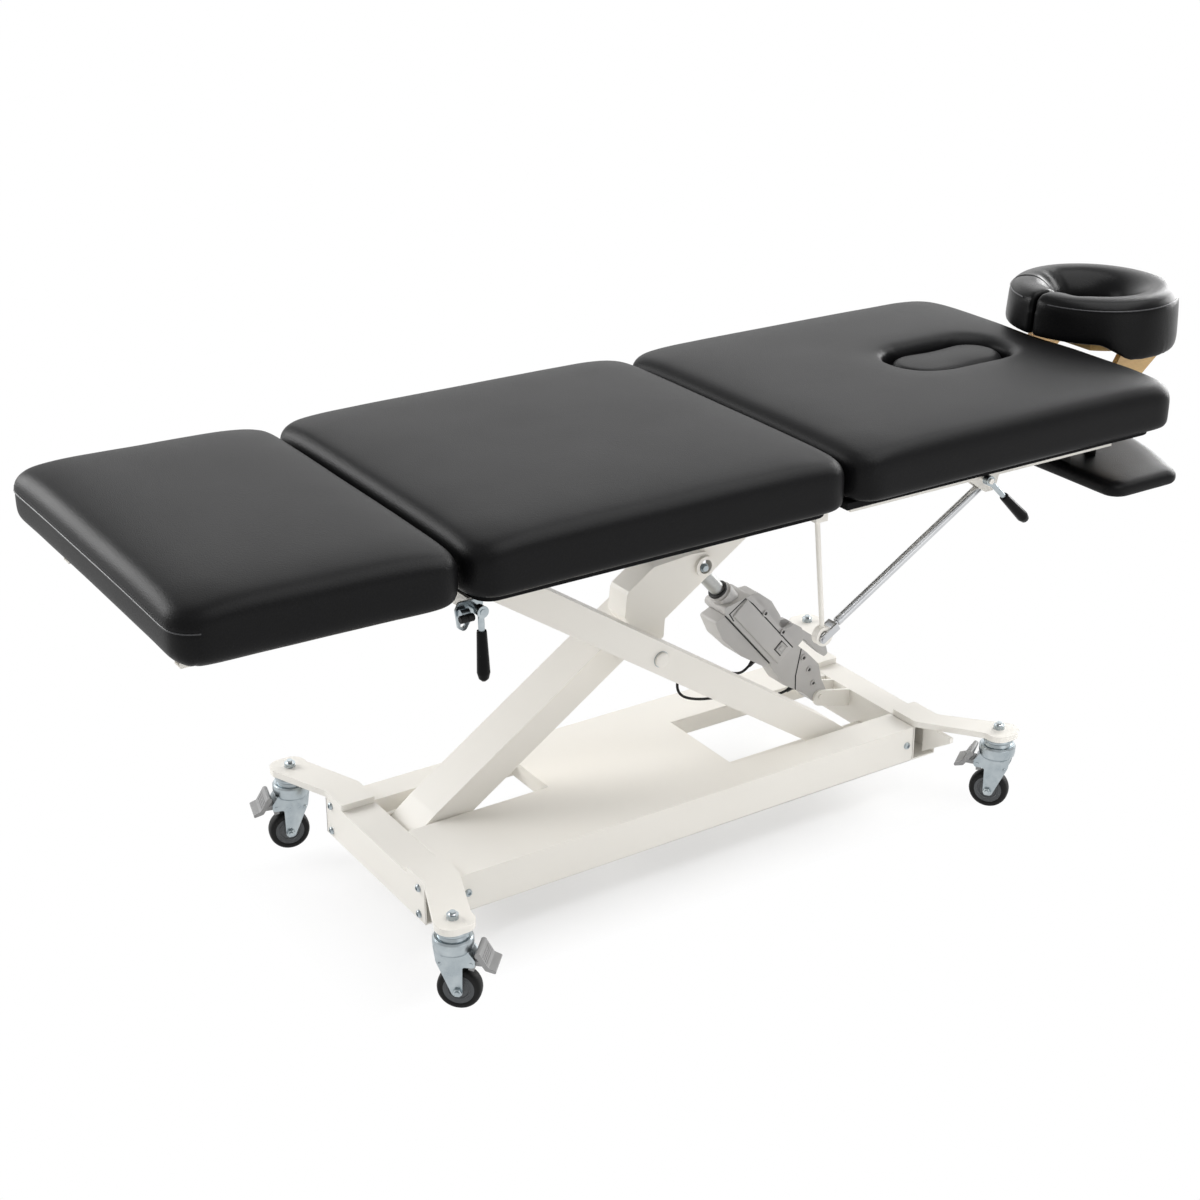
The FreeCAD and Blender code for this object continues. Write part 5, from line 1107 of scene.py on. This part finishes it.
def actuator_details():
    near = ACTUATOR_NEAR_FACE
    lean = Matrix((ACTUATOR_RISE, ACROSS, ACTUATOR_RISE.cross(ACROSS))).transposed().to_4x4()
    tube = block("housing_tube", (0.153, near - 0.004, -0.022), (0.322, near + 0.002, 0.020), 0.0030, 3)
    moved(tube, Matrix.Translation((ACTUATOR_FOOT.x, 0, ACTUATOR_FOOT.z)) @ lean)
    finish_piece(smooth(tube, 35), "actuator", "grey_plastic")
    # Near-black strips along the parting lines: painted shade in the seams.
    painted_seam_shade("housing_seam_shade", [(150, -24), (300, -24), (324, -20), (330, 22), (312, 25)], near, 0.0022)
    painted_seam_shade("cover_seam_shade", [(166, 29.5), (330, 29.5)], near + 0.0055, 0.0022)
    painted_seam_shade("foot_seam_shade", [(118, -36), (104, -18), (84, 8), (62, 26)], GEAR_FOOT_NEAR_FACE, 0.0026)
    boss = turned("screw_boss", [(0.0036, 0.0034), (0.0036, 0.0006), (0, 0.0006), (0, 0), (0.0066, 0),
                                 (0.0060, 0.0034), (0.0036, 0.0034)], 24)
    smooth(boss, 35)
    spots = [(262, -29, near), (196, -30, near)]
    spots += [(u, v, GEAR_FOOT_NEAR_FACE) for u, v in ((68, -20), (36, -8), (100, -28))]
    raised = [facing(on_actuator(*spot), (0, -1, 0)) for spot in spots]
    finish_piece(repeated("housing_screw_bosses", boss, raised), "actuator", "grey_plastic")
    screw = turned("housing_screw", [(0, 0.0004), (0.0012, 0.0004), (0.0012, 0.0016), (0.0030, 0.0014),
                                     (0.0035, 0.0006), (0, 0.0004)], 16)
    smooth(screw, 35)
    finish_piece(repeated("housing_screws", screw, raised), "actuator", "zinc_plate", "dark_plastic")
    on_housing = Matrix.Translation(on_actuator(176, -5, near - 0.004)) @ lean
    shade = block("button_shadow", (-0.0118, -0.0006, -0.0118), (0.0118, 0.001, 0.0118), 0.0005)
    finish_piece(moved(shade, on_housing), "actuator", "grey_plastic", "dark_plastic")
    button = block("release_button", (-0.0100, -0.0030, -0.0100), (0.0100, 0.001, 0.0100), 0.0012)
    inset_faces(button, lambda face: face.normal.y < -0.9 and face.area > 0.0001,
                [(0.0022, -0.0018), (0.0018, 0.0), (0.0006, 0.0016)])
    finish_piece(smooth(moved(button, on_housing), 30), "actuator", "grey_plastic")
    wiper = turned("rod_wiper", [(0.0143, 0), (0.0195, 0), (0.0195, 0.0040), (0.0185, 0.0052), (0.0150, 0.0052),
                                 (0.0143, 0.0044), (0.0143, 0)], 40)
    moved(smooth(wiper, 35), facing(on_actuator(361, 0, ACTUATOR_FOOT.y), ACTUATOR_RISE))
    finish_piece(wiper, "actuator", "grey_plastic", "dark_plastic")
    eye_bolt = joined("eye_bolt", [
        turned("eye_bolt_washer", [(0, 0), (0.0084, 0), (0.0084, 0.0014), (0, 0.0014)], 32),
        turned("eye_bolt_flats", [(0, 0.0014), (0.0066, 0.0014), (0.0071, 0.0020), (0.0071, 0.0056),
                                  (0.0062, 0.0066), (0, 0.0066)], 6)])
    eye = on_actuator(ACTUATOR_LENGTH * 1000, 0, 0)
    moved(smooth(eye_bolt, 30), facing((eye.x, -0.006, eye.z), (0, -1, 0)))
    finish_piece(eye_bolt, "actuator_rod", "satin_aluminium", "zinc_plate")


actuator_details()


# Strut tubes: drawn tube with a rolled lip, and an eye
STRUT_TOP = Vector((0.432, 0.272, 0.672))
STRUT_WAY = Vector((-0.859192, 0, -0.511654))
STRUT_RADIUS = 0.0080


def strut_tubes():
    wall = [(STRUT_RADIUS, 0.006 + 0.012 * step) for step in range(31)]
    lip = [(0.0077, 0.3664), (0.0077, 0.3690), (STRUT_RADIUS, 0.3694), (STRUT_RADIUS, 0.3772), (0.0074, 0.3786),
           (0.0060, 0.3786), (0.0056, 0.3770), (0.0056, 0.3000), (0, 0.3000)]
    ring = [(0, -0.0070), (0.0098, -0.0070), (0.0110, -0.0058), (0.0110, 0.0058), (0.0098, 0.0070), (0, 0.0070)]
    for side, y in (("near", -STRUT_TOP.y), ("far", STRUT_TOP.y)):
        top = Vector((STRUT_TOP.x, y, STRUT_TOP.z))
        tube = moved(turned("strut_tube", [(0, 0.006)] + wall + lip, 56), facing(top, STRUT_WAY))
        eye = moved(turned("strut_eye", ring, 48), facing(top, (0, -1, 0)))
        strut = smooth(joined("strut_tube_polished_" + side, [tube, eye]), 30)
        finish_piece(strut, "strut_tube_" + side, "chrome_rod")
        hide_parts("strut_tube_" + side)


strut_tubes()


# Cap of the cross pivot on the outer arm, with a zinc-finished ring round it as painted shade of the gap
def pivot_cap():
    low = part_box("outer_arm")[0]
    joints = frame["record"]["behaviour"]["joints"]
    place = [joint["pos_m"] for joint in joints if joint["name"] == "arm_cross"][0]
    seat = facing((place[0], low.y, place[2]), (0, -1, 0))
    cap = turned("pivot_cap", [(0, 0.0028), (0.0080, 0.0026), (0.0118, 0.0018), (0.0136, 0.0004), (0.0140, -0.0030),
                               (0, -0.0030)], 40)
    finish_piece(smooth(moved(cap, seat), 40), "outer_arm", "white_powder_coat")
    # A zinc-finished ring just round the cap's rim, below its face: painted shade in the gap round the cap.
    gap_shade = turned("pivot_gap_shade_ring", [(0.0138, -0.0052), (0.0152, -0.0052), (0.0152, -0.0042), (0.0138, -0.0042),
                               (0.0138, -0.0052)], 40)
    finish_piece(moved(gap_shade, seat), "outer_arm", "white_powder_coat", "zinc_plate")


pivot_cap()


# Leg lever bracket: rubber barrel, and a washer beside the release rod
def leg_lever_details():
    low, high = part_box("leg_lever_bracket")
    barrel = turned("lever_barrel", [(0, 0), (0.0050, 0), (0.0062, 0.0014), (0.0062, 0.0100), (0.0052, 0.0108),
                                     (0.0052, 0.0124), (0.0062, 0.0132), (0.0062, 0.0226), (0.0050, 0.0240),
                                     (0, 0.0240)], 32)
    moved(smooth(barrel, 35), facing((low.x - 0.004, low.y + 0.013, high.z - 0.018), (1, 0, 0)))
    finish_piece(barrel, "platform", "black_rubber")
    pin_low, pin_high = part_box("leg_lever")
    washer = turned("lever_washer", [(0.0036, 0), (0.0098, 0), (0.0098, 0.0016), (0.0036, 0.0016), (0.0036, 0)], 32)
    moved(smooth(washer, 35), facing(((pin_low.x + pin_high.x) / 2, pin_low.y, pin_high.z - 0.009), (0, -1, 0)))
    finish_piece(washer, "leg_lever", "zinc_plate")


leg_lever_details()

# Room: white floor that fades to plain white away from the object's shadow, white backdrop, soft light
deselect()
bpy.ops.mesh.primitive_plane_add(size=60)
floor = named("floor")
paper = Finish("floor_paper", Roughness=0.9, Specular_IOR_Level=0.1)
tone = paper.noise(2.0, 2.0)
paper.set(Base_Color=paper.ramp(tone, (0.2, grey(0.93)), (0.8, grey(0.945))))
SHADOW_HALF_LENGTH = 0.62
SHADOW_HALF_WIDTH = 0.24
SHADOW_MIDDLE = -0.12
spot = paper.add("ShaderNodeVectorMath", {"operation": "MULTIPLY_ADD"},
                 {0: paper.place(), 1: (1 / SHADOW_HALF_LENGTH, 1 / SHADOW_HALF_WIDTH, 0.0),
                  2: (-SHADOW_MIDDLE / SHADOW_HALF_LENGTH, 0.0, 0.0)}, "Vector")
spot = paper.add("ShaderNodeVectorMath", {"operation": "ABSOLUTE"}, {0: spot}, "Vector")
parts = paper.tree.nodes.new("ShaderNodeSeparateXYZ")
paper.feed(parts.inputs[0], spot)
distance = Wire(paper, parts.outputs["X"]).math("MAXIMUM", Wire(paper, parts.outputs["Y"]))
rays = paper.tree.nodes.new("ShaderNodeLightPath")
seen = Wire(paper, rays.outputs["Is Camera Ray"]) + Wire(paper, rays.outputs["Is Glossy Ray"])
seen = seen + Wire(paper, rays.outputs["Is Transmission Ray"])
fade = paper.spread(distance, 0.55, 1.15, 0.45, 1.0) * seen
white = paper.add("ShaderNodeEmission", {}, {"Color": (1, 1, 1, 1), "Strength": 1.0}, "Emission")
coat = Wire(paper, paper.shader.outputs["BSDF"])
mixed = paper.add("ShaderNodeMixShader", {}, {"Fac": fade, 1: coat, 2: white}, "Shader")
paper.feed(paper.tree.nodes["Material Output"].inputs["Surface"], mixed)
floor.data.materials.append(paper.material)

world = bpy.data.worlds.new("studio")
world.use_nodes = True
tree = world.node_tree
background = tree.nodes["Background"]
backdrop = tree.nodes.new("ShaderNodeBackground")
for shade, strength in ((background, 0.62), (backdrop, 1.0)):
    shade.inputs["Color"].default_value = (1, 1, 1, 1)
    shade.inputs["Strength"].default_value = strength
path = tree.nodes.new("ShaderNodeLightPath")
both = tree.nodes.new("ShaderNodeMath")
both.operation = "MAXIMUM"
mixer = tree.nodes.new("ShaderNodeMixShader")
tree.links.new(path.outputs["Is Camera Ray"], both.inputs[0])
tree.links.new(path.outputs["Is Transmission Ray"], both.inputs[1])
tree.links.new(both.outputs["Value"], mixer.inputs["Fac"])
tree.links.new(background.outputs["Background"], mixer.inputs[1])
tree.links.new(backdrop.outputs["Background"], mixer.inputs[2])
tree.links.new(mixer.outputs["Shader"], tree.nodes["World Output"].inputs["Surface"])
bpy.context.scene.world = world


def softbox(name, place, aim, size, power):
    light = bpy.data.lights.new(name, "AREA")
    light.shape = "RECTANGLE"
    light.size, light.size_y = size
    light.energy = power
    obj = linked(name, light)
    obj.location = place
    obj.rotation_euler = (Vector(aim) - Vector(place)).to_track_quat("-Z", "Y").to_euler()


softbox("overhead", (1.0, -0.6, 3.1), (0, 0, 0.7), (3.0, 2.2), 66)
softbox("back_window", (1.9, 2.9, 2.4), (0.1, 0, 0.7), (4.6, 2.8), 46)
softbox("foot_side", (-2.3, 2.8, 1.8), (-0.3, 0, 0.2), (2.0, 1.6), 80)
softbox("head_side", (3.3, 0.5, 1.2), (0.3, 0, 0.15), (2.0, 1.4), 75)
softbox("front_fill", (0.8, -4.0, 0.9), (0, 0, 0.25), (3.0, 1.4), 12)
